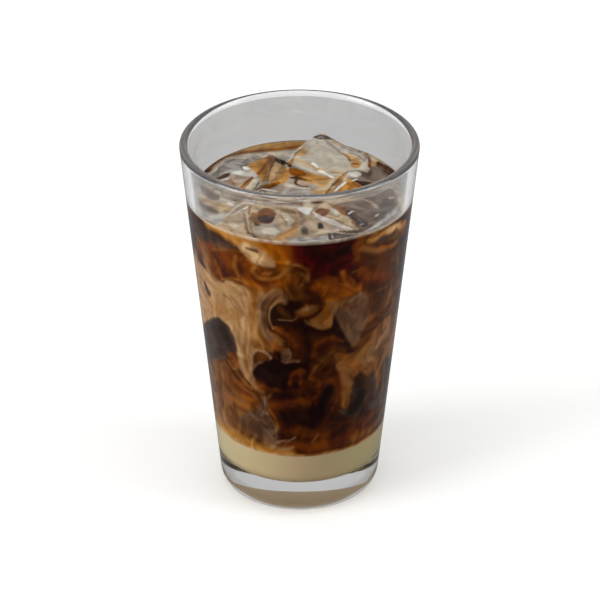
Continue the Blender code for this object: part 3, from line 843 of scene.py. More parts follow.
             (45.5, 43.5), (42.5, 42), (37, 42.5), (31.5, 44), (26, 47.5), (32, 47), (35, 47.5),
             (36, 49.5)], 0, 0.7, 1.0, 0.05),
        ("black", [(39, 58.5), (43.5, 51), (36.5, 46)], (2.2, 3.2), 1.9, 0.85, 0.08),
        ("clay", [(54.5, 61), (58.5, 56), (59.5, 50)], (0.8, 0.35), 0.7, 0.8, 0.08),
        ("grey", [(66.5, 61), (68, 50.5), (69.5, 40)], 1.4, 1.8, 0.7, 0.1),
        ("black", [(22, 44.5), (31, 42)], 1.2, 1.5, 0.8, 0.2),
        ("olive", [(37.5, 39), (50.5, 39), (67, 38)], 1.4, 1.8, 0.75, 0.15),
        ("tan", [(-63, 110), (-59.5, 103.5), (-55, 97.5)], 1.4, 2.0, 0.35, 0.25),
        ("wheat", [(-28.5, 97.5), (-26.5, 90.5), (-28, 82), (-30.5, 75.5)], (1.0, 1.4), 1.3, 0.5, 0.3),
        ("clay", [(-28.5, 103.5), (-26.5, 98.5), (-26.5, 91.5), (-29.5, 83)], 0.4, 0.7, 0.6, 0.2),
        ("wheat", [(-24, 102), (-23, 95.5), (-25, 88), (-26.5, 80)], 0.5, 0.8, 0.5, 0.2),
        ("clay", [(-41, 95), (-38.5, 90.5), (-37, 83), (-38, 75.5)], 0.4, 0.7, 0.45, 0.3),
        ("flesh", [(-46.5, 94.5), (-42, 91), (-39.5, 86), (-39.5, 80)], 0.4, 0.7, 0.45, 0.3),
        ("clay", [(-33, 96.5), (-32, 89.5), (-33, 81.5), (-35, 73.5)], 0.3, 0.6, 0.5, 0.2),
        ("sand", [(-31, 87), (-31, 80), (-33, 72)], 0.4, 0.7, 0.5, 0.15),
        ("rust", [(-29.5, 78.5), (-32, 71.5), (-31.5, 67)], 0.3, 0.6, 0.5, 0.15),
        ("clay", [(-65.5, 89), (-59, 87), (-50, 87.5)], 0.3, 0.8, 0.35, 0.2),
        ("orange", [(-25.5, 104), (-15, 104.5), (-5, 109)], 1.6, 2.2, 0.35, 0.25),
        ("orange", [(11, 107), (19, 103.5), (30, 101)], 2.4, 2.6, 0.35, 0.25),
        ("umber", [(41, 59.5), (49, 54.5), (52.5, 48), (47.5, 44)], (2.4, 2.0), 1.6, 0.7, 0.05),
        ("clay", [(33, 30.5), (48, 31.5), (62, 32), (72, 34.5)], (0.9, 1.6), 2.2, 0.6, 0.15),
        ("rust", [(36.5, 36), (49, 37), (59.5, 38.5)], 1.6, 2.2, 0.5, 0.15),
        ("grey", [(-46.5, 39.5), (-34.5, 45), (-26.5, 50.5), (-23, 54.5), (-21, 53), (-21, 47.5), (-18, 43),
             (-15, 39.5), (-14, 35), (-11.5, 31.5), (-20.5, 31), (-29.5, 33.5), (-39, 35.5)], 0, 1.4, 0.85,
             0.15),
        ("orange", [(-20, 49.5), (-17, 45), (-15, 40.5)], 0.4, 0.9, 0.5, 0.1),
        ("flesh", [(-23, 54.5), (-23, 50), (-25.5, 45), (-23, 41.5)], 0.18, 0.4, 0.42, 0.05),
        ("flesh", [(-22.5, 47.5), (-18.5, 44), (-16.5, 40.5), (-16, 36)], 0.22, 0.42, 0.42, 0.05),
        ("flesh", [(-26, 40), (-21.5, 37.5), (-17, 34.5), (-12.5, 33.5)], 0.22, 0.42, 0.39, 0.05),
        ("veil", [(-21.5, 41.5), (-17.5, 37.5)], 0.6, 0.8, 0.5, 0.1),
        ("clay", [(-92, 39), (-60, 37), (-34, 35), (-10, 31)], (2.0, 0.6), 2.4, 0.55, 0.15),
        ("caramel", [(-60.5, 32.5), (-47, 31.5), (-34.5, 31)], 1.4, 2.2, 0.6, 0.05),
        ("caramel", [(-94, 30.2), (-62, 29.8), (-42, 29.4), (-22, 29), (-6, 28.4)], (2.6, 1.3), 2.6, 0.95,
             0.05),
        ("orange", [(-27, 29.5), (-11, 28.5), (7.5, 28), (29.5, 28), (49, 28), (76.5, 27.5)], (0.6, 0.8),
             1.4, 0.8, 0.08),
        ("amber", [(-30, 27.5), (-19.5, 27.5), (-9.5, 27.5)], 0.5, 0.8, 0.6, 0.15),
        ("sand", [(-100, 28.2), (-60, 28), (-30, 27.8), (0, 27.5), (40, 27.5), (100, 27.7)], (0.9, 0.25),
             1.1, 0.85, 0.02),
        ("flesh", [(-15, 34), (-10.5, 35), (-6.5, 35.5), (-3, 37)], 0.3, 0.45, 0.49, 0.08),
        ("flesh", [(-10, 33), (-7, 35)], 0.25, 0.45, 0.42, 0.08),
        ("flesh", [(-18, 31.5), (-10, 30.5), (-4.5, 32)], (0.8, 0.4), 0.9, 0.5, 0.15),
        ("clay", [(8, 34.5), (10, 36), (12.5, 38)], 0.3, 0.5, 0.56, 0.08),
    ],
    # the top holds painted highlights, reflections and shade on the ice and the surface, besides the colours
    # of the drink
    "top": [   # ways in millimetres right and back
        ("stone", [(-60, 0), (60, 0)], 200, 0.8, 1.0, 0),
        ("crema", [(-42.4, -6.8), (-26, -5.2), (0, -7.4), (37.2, -2), (33.8, -22.4), (18.2, -36),
             (0, -40.6), (-21.8, -33), (-38.2, -17.6)], 0, 2.0, 0.9, 0.2),
        ("taupe", [(-37.4, 1.2), (-32, -2.8), (-25.2, -6), (-17.8, -7.4)], 1.3, 0.96, 0.7, 0.4),
        ("stone", [(-39, 4.4), (-33.6, -2), (-26, -4.4)], 0.9, 0.8, 0.8, 0.3),
        ("pale", [(-28.2, 27.2), (-19, 30.6), (-9.2, 32.2), (-3, 30.6)], 2.2, 1.28, 0.7, 0.3),
        ("amberRing", [(-32, 29), (-26.8, 34.4), (-20, 37.8), (-12.2, 39.6), (-5.4, 40.8), (2.4, 41.6)],
             (1.6, 3.6), 1.76, 1.0, 0.1),
        ("stone", [(-32.8, 31.4), (-27.6, 37), (-20.8, 41), (-13, 43), (-5.4, 44.2), (7.8, 45)], 1.3, 1.76,
             0.95, 0.03),
        ("toffee", [(-36.4, 20.6), (-32, 26), (-27.4, 30.2), (-21.4, 33.4), (-14.6, 35.2), (-7.6, 36.4),
             (0, 38.2)], (0.9, 1.5), 1.12, 0.95, 0.2),
        ("bark", [(-37.6, 20.2), (-35.4, 24.8), (-33.2, 27.2), (-30.2, 29.2), (-27.8, 31.6), (-29.8, 27.2),
             (-32.6, 21.6), (-34.8, 16)], 0, 0.48, 1.0, 0.15),
        ("char", [(-37, 20.6), (-35.4, 24.4), (-33.2, 27)], 0.45, 0.32, 0.8, 0.1),
        ("taupe", [(-34.8, 22), (-34.2, 23.2)], 0.6, 0.32, 0.9, 0),
        ("cocoa", [(-33.4, 20.6), (-30.8, 26), (-28.2, 29.8)], 0.5, 0.48, 0.7, 0.2),
        ("stone", [(-34, 15), (-30.8, 21.6), (-27.4, 28.4), (-22.8, 29.8), (-16.8, 30.2), (-12.2, 31.4)],
             1.0, 0.56, 0.9, 0.1),
        ("steel", [(-33.2, 15.8), (-30.4, 21.8), (-27.4, 27.2), (-24.4, 28.2), (-20.6, 28.2), (-16, 28.2),
             (-17.4, 24.4), (-19.4, 22), (-22, 23.2), (-25, 21.6), (-28, 17.8), (-31.2, 13.4)], 0, 0.48,
             0.9, 0.2),
        ("pale", [(-33.6, 15.8), (-30.8, 21.6), (-28.2, 27.2), (-25.6, 29.2), (-21, 29.2)], 0.35, 0.28,
             0.85, 0.03),
        ("ash", [(-27.4, 24.8), (-26.2, 26.8), (-24.8, 27.8)], 0.35, 0.32, 0.7, 0.1),
        ("stone", [(-29.6, 18.2), (-26.6, 21.8), (-24, 24)], 0.7, 0.56, 0.6, 0.2),
        ("ash", [(-21.4, 26.4), (-19.8, 27.2), (-17.8, 26), (-19.4, 23.4), (-21.6, 24)], 0, 0.4, 0.8, 0.2),
        ("bark", [(-20.6, 27.2), (-18.2, 28.6), (-14.2, 28.4)], 0.3, 0.26, 0.85, 0.05),
        ("bark", [(-24.4, 23.8), (-22.8, 22.6), (-20.4, 23), (-18.2, 24.8)], 0.35, 0.32, 0.8, 0.08),
        ("painted_reflection", [(-28.8, 17.4), (-25, 20.6), (-21.2, 20.2), (-16.6, 20.2), (-15.4, 15), (-18, 12.8),
             (-21.2, 14.2), (-25.6, 15), (-28, 15.8)], 0, 0.48, 0.95, 0.15),
        ("char", [(-22.6, 22.6), (-21.2, 19.2)], 0.24, 0.26, 0.9, 0),
        ("glint", [(-21.8, 21.6), (-19.4, 21.6), (-18.6, 19.8), (-20.4, 19.4)], 0, 0.26, 1.0, 0),
        ("frost", [(-25.4, 17), (-22.8, 18.6), (-20.8, 17.4), (-22.6, 15.6), (-25, 15.8)], 0, 0.4, 0.95,
             0.05),
        ("crema", [(-19.6, 17.4), (-16.6, 19), (-14.4, 15)], 0.9, 0.64, 0.7, 0.2),
        ("honey", [(-19.8, 22.4), (-17.4, 25.2), (-15.2, 27.8), (-13, 28.4), (-11.4, 24.8), (-11.4, 20.6),
             (-12, 14.2), (-13.6, 9.2), (-15, 10.8), (-16.2, 15), (-17.4, 19)], 0, 0.48, 0.95, 0.2),
        ("taupe", [(-19, 24.8), (-16.8, 26.6), (-14.4, 27.6)], 0.6, 0.48, 0.6, 0.2),
        ("toffee", [(-15.4, 15.8), (-14, 19.8), (-12.2, 24.8)], 0.9, 0.48, 0.95, 0.2),
        ("cocoa", [(-13.6, 10.8), (-14.4, 15), (-12.2, 21.6), (-11.4, 20.6), (-12, 14.2)], 0, 0.48, 0.6,
             0.3),
        ("crema", [(-15.8, 13.4), (-14.2, 10)], 0.6, 0.4, 0.7, 0.1),
        ("cocoa", [(-13.8, 28.4), (-12.2, 30.8), (-11, 31.6), (-9.6, 30), (-8.8, 28.2), (-9.8, 23.4),
             (-11.2, 18.2), (-11.6, 24), (-12.6, 27)], 0, 0.32, 0.95, 0.2),
        ("bark", [(-11.8, 29), (-10.2, 26.4)], 0.7, 0.4, 0.5, 0.3),
        ("pale", [(-16.8, 28.8), (-14.2, 29.6), (-12.6, 31.4), (-11, 32.4), (-9.6, 31)], 0.35, 0.26, 0.9,
             0.02),
        ("sand", [(-9.2, 26), (-7.4, 25.4), (-6.2, 22.4), (-8, 17.4), (-9.4, 13), (-11.2, 9.8), (-12.2, 10),
             (-11.2, 16.6), (-10.2, 21.6)], 0, 0.28, 1.0, 0.06),
        ("stone", [(-8.8, 24.8), (-7.2, 23.4)], 0.8, 0.4, 0.6, 0.1),
        ("crema", [(-10.6, 14.2), (-9, 19), (-7.6, 22.4)], 0.4, 0.32, 0.6, 0.1),
        ("bark", [(-9, 27.2), (-10.6, 21.6), (-11.4, 15), (-12.2, 9.8)], 0.24, 0.26, 0.9, 0.02),
        ("honey", [(-6, 21.8), (-3.8, 19), (-3.8, 12.6), (-5.2, 9), (-7.8, 8.2), (-9.2, 9.2), (-8, 15)], 0,
             0.56, 0.95, 0.25),
        ("sand", [(-6.8, 19), (-6, 15), (-7.6, 10.8)], 0.6, 0.56, 0.6, 0.2),
        ("cocoa", [(-6.6, 22), (-8.4, 17), (-8.8, 12.6), (-11, 9.2)], 0.22, 0.26, 0.85, 0.02),
        ("char", [(-9.4, 29.2), (-7.6, 28.2), (-5.8, 27.2), (-5, 25.4), (-3.4, 24.4), (-3.6, 21),
             (-5.4, 21.6), (-7.2, 23.8), (-9, 26.2)], 0, 0.28, 1.0, 0.08),
        ("stone", [(-6.2, 29.8), (-3.8, 29), (-3.4, 25.6)], 0.8, 0.48, 0.8, 0.2),
        ("pale", [(-5.4, 23.2), (-4.2, 19.8)], 0.5, 0.4, 0.6, 0.1),
        ("toffee", [(-16.6, 2.2), (-14.8, 5.2), (-12.8, 7.6), (-11.2, 8.8), (-7.8, 9.8), (-8.6, 6.4),
             (-11.2, 3.6), (-13.4, 3.4), (-15.6, 1.4)], 0, 0.4, 1.0, 0.2),
        ("honey", [(-12.2, 6.8), (-10.6, 8.6), (-8, 11.2)], 0.5, 0.4, 0.85, 0.15),
        ("bark", [(-12, 4.4), (-9.8, 6.6)], 0.5, 0.48, 0.5, 0.2),
        ("taupe", [(-9, 2.8), (-6, 5.2), (-3.8, 10)], 1.0, 0.72, 0.8, 0.25),
        ("taupe", [(-31.6, 10.8), (-29.4, 10), (-27.2, 12.6), (-26, 14.6), (-22.6, 14.4), (-18.8, 13.4),
             (-20, 10), (-21.4, 5.8), (-23.2, 4.4), (-26.2, 6.8)], 0, 0.36, 0.95, 0.15),
        ("stone", [(-23.4, 12.6), (-20.4, 12.2)], 0.8, 0.56, 0.6, 0.15),
        ("bark", [(-32, 11.6), (-29.8, 14.2), (-28, 16), (-26.2, 16.8), (-26.6, 14.4), (-29, 12.2),
             (-30.8, 10.8)], 0, 0.28, 1.0, 0.08),
        ("pale", [(-30.2, 15.2), (-28, 17.6), (-25.8, 18.4)], 0.3, 0.26, 0.85, 0.02),
        ("glint", [(-29.4, 10.4), (-27, 12)], 0.35, 0.26, 0.8, 0),
        ("cocoa", [(-26, 11.4), (-25, 8.4), (-24.2, 5.2)], 0.4, 0.32, 0.7, 0.1),
        ("toffee", [(-22.8, 4), (-21.4, 6.8), (-20, 10.2), (-18.6, 13), (-17.8, 13.8), (-17.2, 12.4),
             (-18.4, 9.6), (-19.6, 6.6), (-20.8, 3.6)], 0, 0.28, 1.0, 0.12),
        ("honey", [(-20.8, 4.8), (-19.6, 7.6), (-18, 10.8)], 0.4, 0.28, 0.9, 0.05),
        ("pale", [(-20.2, 3.4), (-18.6, 8.2), (-16.8, 12.6), (-15.6, 10.6), (-16.2, 6.6), (-17.8, 2.2)], 0,
             0.28, 0.95, 0.06),
        ("bark", [(-18, 2), (-16.2, 5.8), (-15.4, 9)], 0.26, 0.26, 0.85, 0.02),
        ("frost", [(-17.2, 13.4), (-15.6, 11.4), (-14.8, 8.2), (-15.8, 5.2)], 0.3, 0.26, 0.9, 0.02),
        ("char", [(-15.6, 0.8), (-13.6, 2.2), (-12.6, 1)], 0.45, 0.26, 0.95, 0.05),
        ("ash", [(-12, 1.6), (-10, 1)], 0.4, 0.26, 0.8, 0.05),
        ("char", [(-10, 0.6), (-8.2, 0.2), (-6.2, -1.6)], 0.45, 0.26, 0.95, 0.05),
        ("frost", [(-16.2, 1.4), (-14, 3.6), (-12, 3), (-9, 1.8), (-6.4, 0.2)], 0.35, 0.26, 0.95, 0.02),
        ("stone", [(-11.2, -0.4), (-6, 3.6), (-3.8, 9.2), (1.4, 5.2), (5.2, 1.2), (0, -3.6)], 0, 0.64, 0.9,
             0.2),
        ("pale", [(-5.2, 7.2), (-1.4, 5.2), (3, 4.4)], 0.9, 0.64, 0.85, 0.1),
        ("painted_reflection", [(-6, 1.6), (-0.8, 1.2), (3.8, 2)], 0.8, 0.64, 0.8, 0.1),
        ("cloud", [(-0.8, 35.6), (2.4, 42.4), (5.4, 47.6), (8.6, 49.2), (13.2, 46.6), (17.8, 42.4),
             (25.2, 35.6), (29.8, 28.4), (26.4, 17.4), (18.8, 15.8), (12.8, 14.2), (0, 20.6), (-3.4, 25.6)],
             0, 0.48, 1.0, 0.08),
        ("honey", [(2, 40.2), (-0.4, 35.6), (-2.2, 30.6), (-3.6, 24.8)], (0.6, 0.9), 0.48, 0.95, 0.2),
        ("honey", [(0, 36), (2.4, 37.6), (3.4, 34.8), (1.6, 30.6), (-0.4, 31.4)], 0, 0.56, 0.8, 0.2),
        ("crema", [(2.4, 39.6), (5, 41)], 0.6, 0.48, 0.7, 0.2),
        ("toffee", [(0.2, 36.8), (-1.6, 32.2), (-3.4, 26.8)], 0.35, 0.28, 0.9, 0.05),
        ("pale", [(-2, 29.2), (-0.4, 30.6)], 0.6, 0.4, 0.9, 0.1),
        ("sand", [(-0.8, 27.2), (2.2, 24.8), (5.4, 21.6), (9, 18.2)], 1.4, 0.8, 0.7, 0.15),
        ("stone", [(2, 35.6), (4.6, 38.6), (9.2, 38.6)], 0.5, 0.48, 0.6, 0.1),
        ("crema", [(9.8, 20.6), (13.6, 19), (18.2, 20.2)], 0.9, 0.72, 0.6, 0.15),
        ("honey", [(12.4, 17), (15.2, 16.6), (17.4, 16.2)], 0.7, 0.4, 0.9, 0.1),
        ("char", [(5.2, 46.2), (6.6, 48), (8.6, 48.6), (10.8, 46.8), (12.2, 43.8), (10.4, 44.2), (8, 44.4),
             (6.6, 45.4)], 0, 0.26, 0.9, 0.15),
        ("steel", [(7.2, 45.8), (8.2, 46.8), (9.4, 45.4)], 0.35, 0.26, 0.8, 0.1),
        ("cocoa", [(9.2, 47.8), (11.2, 46.4), (12.8, 44.2)], 0.4, 0.28, 0.8, 0.1),
        ("cocoa", [(12.8, 44.4), (15.8, 41.2), (20, 37.8)], 0.4, 0.32, 0.6, 0.1),
        ("ash", [(9.6, 44.2), (12, 40.8), (13.4, 37.6), (15.6, 33.4)], 0.28, 0.26, 0.75, 0.03),
        ("steel", [(10, 42.4), (12, 39), (13, 36.4)], 0.3, 0.32, 0.6, 0.05),
        ("ash", [(6.8, 42.8), (7, 40.8)], 0.3, 0.26, 0.7, 0.02),
        ("steel", [(7.6, 41.6), (9.2, 41.2)], 0.4, 0.28, 0.7, 0.05),
        ("crema", [(12, 43.8), (17, 39), (22.2, 36.2), (25.2, 33.2)], 0.9, 0.64, 0.8, 0.1),
        ("painted_reflection", [(15.4, 36.4), (19.2, 34), (23, 33.2)], 0.7, 0.48, 0.8, 0.1),
        ("ash", [(16.2, 37.8), (20, 35.2), (23, 34), (24.8, 30.6), (25.2, 27.2)], 0.26, 0.26, 0.75, 0.02),
        ("ash", [(18.8, 33), (21.4, 31.8), (23.4, 29.2), (24.8, 26.2)], 0.24, 0.26, 0.8, 0.02),
        ("sand", [(16.6, 32.8), (19.2, 32.2), (21.4, 30.6), (23.6, 27.6), (21.8, 27.2), (19, 28.6)], 0,
             0.32, 0.95, 0.1),
        ("toffee", [(16, 32.8), (17.8, 31), (19.4, 27)], (0.3, 0.5), 0.28, 0.95, 0.05),
        ("char", [(18.6, 27.8), (19.4, 26.4)], 0.3, 0.26, 0.9, 0),
        ("honey", [(19.8, 27.8), (22, 27.4), (23.8, 25.2), (23.2, 22), (21.4, 20.6), (19.8, 22.6)], 0, 0.4,
             0.9, 0.2),
        ("toffee", [(20.8, 24.4), (22.4, 23.8)], 0.7, 0.36, 0.95, 0.15),
        ("pale", [(22.6, 17.8), (23.4, 23.2), (25.2, 25.4), (26, 19), (25, 16.2)], 0, 0.32, 0.95, 0.05),
        ("toffee", [(24.8, 33.4), (26.4, 30.2), (27.4, 27.2), (27.2, 22.4), (26.6, 19.6), (25.8, 22.4),
             (26.2, 27.2)], 0, 0.28, 1.0, 0.1),
        ("honey", [(25.6, 33.6), (28.6, 29), (31.2, 26)], 0.5, 0.4, 0.8, 0.15),
        ("sand", [(27.8, 27), (29, 26.4), (29, 22.4), (28, 22)], 0, 0.28, 1.0, 0.05),
        ("bark", [(29.2, 26.2), (32.6, 23.6), (34.8, 20.8), (37, 18.4), (35.4, 15.8), (34, 13.6),
             (31.8, 17.4), (29.6, 20.6)], 0, 0.28, 1.0, 0.12),
        ("char", [(30, 25.2), (33.4, 22.4), (36.6, 18.6)], 0.35, 0.32, 0.7, 0.1),
        ("ash", [(30.4, 21.8), (33.2, 18.2), (35.2, 15.2)], 0.35, 0.32, 0.7, 0.1),
        ("slate", [(25.8, 17.8), (27, 21.6), (28.8, 22), (31.8, 17.8), (34.2, 13.4), (31.6, 10),
             (27.8, 13.4), (26, 15.8)], 0, 0.32, 1.0, 0.1),
        ("frost", [(-3.8, 27.2), (-2.6, 30.6), (0, 37.4), (3, 43.2), (5.8, 48.2), (8.2, 50), (10.8, 48.8),
             (15.4, 44.6), (21.6, 39.2), (26, 35.4), (30.2, 29)], 0.45, 0.28, 0.95, 0),
        ("honey", [(-3.8, 20.6), (0, 19.8), (5.2, 16.6), (11.4, 12.6), (9, 8.4), (3, 9.2), (-2.2, 12.6)], 0,
             0.48, 0.95, 0.2),
        ("toffee", [(-3.8, 20.4), (-1.2, 19.8), (1.8, 17.8), (2.8, 15), (0, 13.8), (-3.4, 15)], 0, 0.4, 1.0,
             0.15),
        ("char", [(-3.8, 12.8), (-1.2, 13.8), (1.2, 12.8), (3.4, 10.4), (0, 11), (-2.6, 11.6)], 0, 0.32,
             0.9, 0.15),
        ("sand", [(4.6, 11.6), (8.2, 10.8), (12.8, 12.6), (16.2, 14.4), (14.2, 7.6), (10.4, -0.4),
             (4.4, 0.4), (6.8, 5.2)], 0, 0.4, 1.0, 0.12),
        ("pale", [(12.8, 10.8), (10.4, 5.2), (6.8, 2.8)], 0.9, 0.72, 0.7, 0.15),
        ("honey", [(3, 3.2), (4.8, 2.6)], 0.6, 0.4, 0.6, 0.2),
        ("pale", [(-2.8, 23.6), (-0.4, 21.6), (3, 19.2), (6.8, 17), (9.8, 15)], 0.45, 0.28, 0.95, 0.02),
        ("glint", [(7.8, 18.2), (10.2, 15.8), (12.6, 13)], 0.6, 0.26, 0.95, 0),
        ("glint", [(5.2, 24.2), (6.8, 21.2)], (0.8, 0.5), 0.26, 1.0, 0),
        ("taupe", [(-0.8, 9.2), (2.2, 9.6), (4.8, 7.6), (3.8, 5.2), (0.8, 6)], 0, 0.32, 0.95, 0.1),
        ("bark", [(-1, 10.8), (-1.6, 8.8), (-0.2, 6.6), (2.2, 5.4), (4.2, 5.2)], (0.7, 0.3), 0.26, 1.0,
             0.02),
        ("frost", [(-3.8, 7.6), (-0.8, 4.8), (3.8, 3.8)], 0.5, 0.4, 0.7, 0.05),
        ("slate", [(19.6, 17.4), (23.4, 17.4), (27.2, 15.8), (31.6, 10.8), (28.6, 7.6), (24.8, 9.2),
             (21, 10.8)], 0, 0.4, 1.0, 0.1),
        ("honey", [(13.4, -0.4), (15.8, 5.6), (17.2, 10), (19.6, 11.2), (22.6, 9.2), (25, 5.2), (21.6, 2),
             (18, 0.4)], 0, 0.32, 1.0, 0.15),
        ("toffee", [(18, 7.6), (19.4, 5.2), (18.4, 2)], 0.8, 0.48, 0.8, 0.25),
        ("toffee", [(20.2, 8.4), (22.2, 6), (23.2, 4.2)], 0.7, 0.48, 0.8, 0.25),
        ("char", [(20.4, 10.8), (24, 10.2), (27, 9), (29.2, 8.4), (26.6, 5.4), (24.4, 5.2), (22.2, 8)], 0,
             0.32, 1.0, 0.08),
        ("cocoa", [(21.8, 5.6), (24, 4)], 0.6, 0.4, 0.7, 0.2),
        ("honey", [(9.4, -1.2), (12, 6), (15, 13), (17.4, 17), (17, 12.8), (14.2, 6), (12.4, 1.2),
             (11.6, -1.2)], 0, 0.28, 1.0, 0.08),
        ("cocoa", [(10, -0.8), (12.8, 5.8), (15.4, 11.6)], 0.4, 0.32, 0.7, 0.1),
        ("bark", [(9.4, -1.2), (12.4, 7), (15.6, 14), (18.6, 18)], 0.28, 0.26, 0.95, 0.01),
        ("bark", [(12.4, -0.8), (13.8, 3.2), (15.8, 7.2)], 0.5, 0.32, 0.85, 0.05),
        ("pale", [(11.8, 4), (12.8, 5.2)], 0.5, 0.28, 0.8, 0.05),
        ("glint", [(13.2, 1.6), (15, 5.2), (17, 8.8)], (0.35, 0.6), 0.26, 0.95, 0),
        ("pale", [(16.4, 10), (17.8, 14.4), (19.2, 17.8)], 0.3, 0.26, 0.9, 0.01),
        ("ash", [(19, 17.8), (21.2, 18.8), (24.2, 17), (28, 13.8), (31.2, 10)], 0.3, 0.26, 0.7, 0.03),
        ("frost", [(18.8, 15.2), (20.4, 17.6), (22.6, 17), (23.6, 15), (21.4, 13), (19.6, 13.4)], 0, 0.28,
             1.0, 0.03),
        ("bark", [(17.8, 12.6), (19.2, 11.4), (21, 12)], 0.35, 0.26, 0.85, 0.05),
        ("glint", [(19.8, 10), (21.4, 12)], 0.3, 0.26, 0.95, 0),
        ("stone", [(-42.6, 4.4), (-37.6, 9.2), (-26.2, 1.2), (-14.2, -4.4), (0, -6), (0, -9.8), (-14, -8.2),
             (-26.8, -5.2), (-35.6, -5.2)], 0, 0.64, 0.9, 0.2),
        ("ash", [(-37.6, 7.6), (-35.2, 6), (-32.6, 2), (-29.4, -2.4), (-32, -4), (-34.6, -1.2),
             (-36.6, 2.8)], 0, 0.48, 0.85, 0.35),
        ("taupe", [(-34.8, 5.2), (-29.2, 0.4), (-22.4, -4), (-14.2, -7)], 0.35, 0.32, 0.9, 0.1),
        ("pale", [(-32.2, 4), (-26.8, 0), (-20, -3.6), (-12.6, -5.4), (-3.8, -5.6)], 0.35, 0.32, 0.8, 0.05),
        ("cocoa", [(-19.4, -2.4), (-15.6, -4), (-11.2, -4.4)], 0.35, 0.32, 0.6, 0.1),
        ("cocoa", [(-7.8, -6.8), (-4.4, -6.8), (-1.2, -6.8)], 0.55, 0.32, 0.85, 0.1),
        ("taupe", [(-14.2, -6.8), (-10.4, -8.2)], 0.5, 0.4, 0.8, 0.1),
        ("pale", [(-6, -9), (-1.4, -9.4), (4.4, -9)], 0.5, 0.32, 0.8, 0.02),
        ("crema", [(-38, 0.4), (-33.6, -2.8), (-29, -6.4), (-24.8, -9), (-23, -10.6), (-23.6, -14.2),
             (-28, -12.6), (-31.8, -9.4), (-35, -5.6)], 0, 0.48, 1.0, 0.15),
        ("sand", [(-31.8, -8.2), (-28.8, -9.8), (-25.2, -11.8)], 0.8, 0.56, 0.7, 0.15),
        ("pale", [(-29.4, -2.4), (-26, -4.8), (-23.8, -6.4)], 0.6, 0.48, 0.7, 0.1),
        ("glint", [(-26.8, -5.8), (-24.2, -7.6), (-24, -9), (-26, -7.8)], 0, 0.26, 0.9, 0.02),
        ("taupe", [(-24.2, -8.2), (-22.6, -5.2), (-20.8, -5.4)], 0.5, 0.4, 0.8, 0.1),
        ("painted_reflection", [(-38.6, -4.4), (-36.4, -8.2), (-34, -13.8), (-31.6, -20), (-33.8, -20), (-37, -14.6),
             (-39.2, -9)], 0, 0.48, 0.95, 0.15),
        ("ash", [(-37.2, -4.4), (-34.6, -7.2), (-31.4, -10.6), (-28.8, -13.8), (-31.8, -14.2),
             (-34.8, -11.8), (-36.4, -8.6)], 0, 0.64, 0.95, 0.2),
        ("bark", [(-33.2, -11.4), (-30.6, -13.4)], (0.4, 0.2), 0.64, 0.5, 0.2),
        ("painted_reflection", [(-34, -13.8), (-31, -15.2), (-27, -14.6), (-27.6, -18.4), (-28.2, -22), (-31.6, -21.2),
             (-33.6, -17.6)], 0, 0.4, 1.0, 0.1),
        ("frost", [(-32, -16.8), (-29.4, -17.6), (-28.4, -16.2)], 1.0, 0.56, 0.9, 0.1),
        ("steel", [(-35.6, -11.4), (-34, -15.6), (-31.2, -19.6)], 0.2, 0.26, 0.9, 0.02),
        ("pale", [(-36.2, -11.4), (-34.2, -16.2), (-31.2, -20.8)], 0.3, 0.26, 0.8, 0.02),
        ("taupe", [(-36.6, -14), (-33.8, -19), (-30.8, -22)], 0.4, 0.28, 0.9, 0.05),
        ("crema", [(-28.6, -22.4), (-25.2, -14.2), (-22.2, -8.8), (-19.6, -6.8), (-14.2, -7.2), (-7.4, -9),
             (-0.8, -10.6), (0.8, -17.6), (-3, -28.4), (-8.8, -34.6), (-15.2, -33), (-20.4, -27.6)], 0, 0.4,
             0.95, 0.12),
        ("taupe", [(-24.6, -16.2), (-22.6, -10.6), (-20, -8.2), (-18.6, -9.8), (-19.2, -16.2),
             (-18.6, -25.4), (-20.8, -24.6), (-22.8, -20)], 0, 0.4, 0.85, 0.2),
        ("crema", [(-22.8, -16.2), (-22, -20.8), (-20.8, -24.6)], 0.8, 0.56, 0.7, 0.2),
        ("pale", [(-25.4, -21.6), (-23.4, -21.2), (-22, -24.6), (-23.4, -25.4)], 0, 0.4, 0.8, 0.1),
        ("frost", [(-28.4, -21.6), (-26.6, -16.8), (-24.6, -12.6), (-22.4, -7.8), (-20, -6), (-16.8, -6.8)],
             (0.3, 0.6), 0.26, 0.95, 0.02),
        ("cocoa", [(-23.6, -12), (-21.8, -9), (-19.6, -7.6), (-17.4, -7.8)], 0.3, 0.26, 0.7, 0.05),
        ("taupe", [(-27.2, -20), (-25.4, -16.2), (-24, -13.4)], 0.5, 0.32, 0.8, 0.1),
        ("pale", [(-24, -15.6), (-21.8, -12.8), (-19.4, -9.8)], 0.5, 0.32, 0.8, 0.1),
        ("glint", [(-20.4, -10.8), (-19.2, -9.4)], 0.4, 0.26, 0.9, 0),
        ("cocoa", [(-18, -8.8), (-18, -12.2), (-18.4, -15.6)], (0.7, 0.35), 0.32, 0.85, 0.1),
        ("cocoa", [(-20, -13.8), (-19.4, -20), (-19.2, -25.4), (-18.2, -29.2)], (0.3, 0.6), 0.4, 0.7, 0.15),
        ("pale", [(-18.8, -13.8), (-18.6, -19.2), (-18.4, -24.6), (-17.2, -28.4), (-15.2, -31.4)], 0.24,
             0.26, 0.9, 0.02),
        ("cocoa", [(-18, -16.8), (-17.8, -24.6), (-16.4, -29.6), (-15, -32)], 0.22, 0.26, 0.85, 0.02),
        ("bark", [(-18.4, -29.6), (-16.8, -30.4), (-15.6, -32)], 0.6, 0.4, 0.8, 0.15),
        ("stone", [(-16.8, -25.4), (-14, -23), (-7.4, -23.8), (-5.8, -28.4), (-11, -32.2), (-15.4, -30)], 0,
             0.56, 0.7, 0.2),
        ("pale", [(-13.8, -27), (-11, -25.4), (-7.4, -27.4), (-8.8, -30.4), (-12.4, -29.6)], 0, 0.48, 0.85,
             0.15),
        ("sand", [(-13.8, -32.8), (-9.4, -34.6), (-4.4, -35.6)], 1.0, 0.48, 0.7, 0.1),
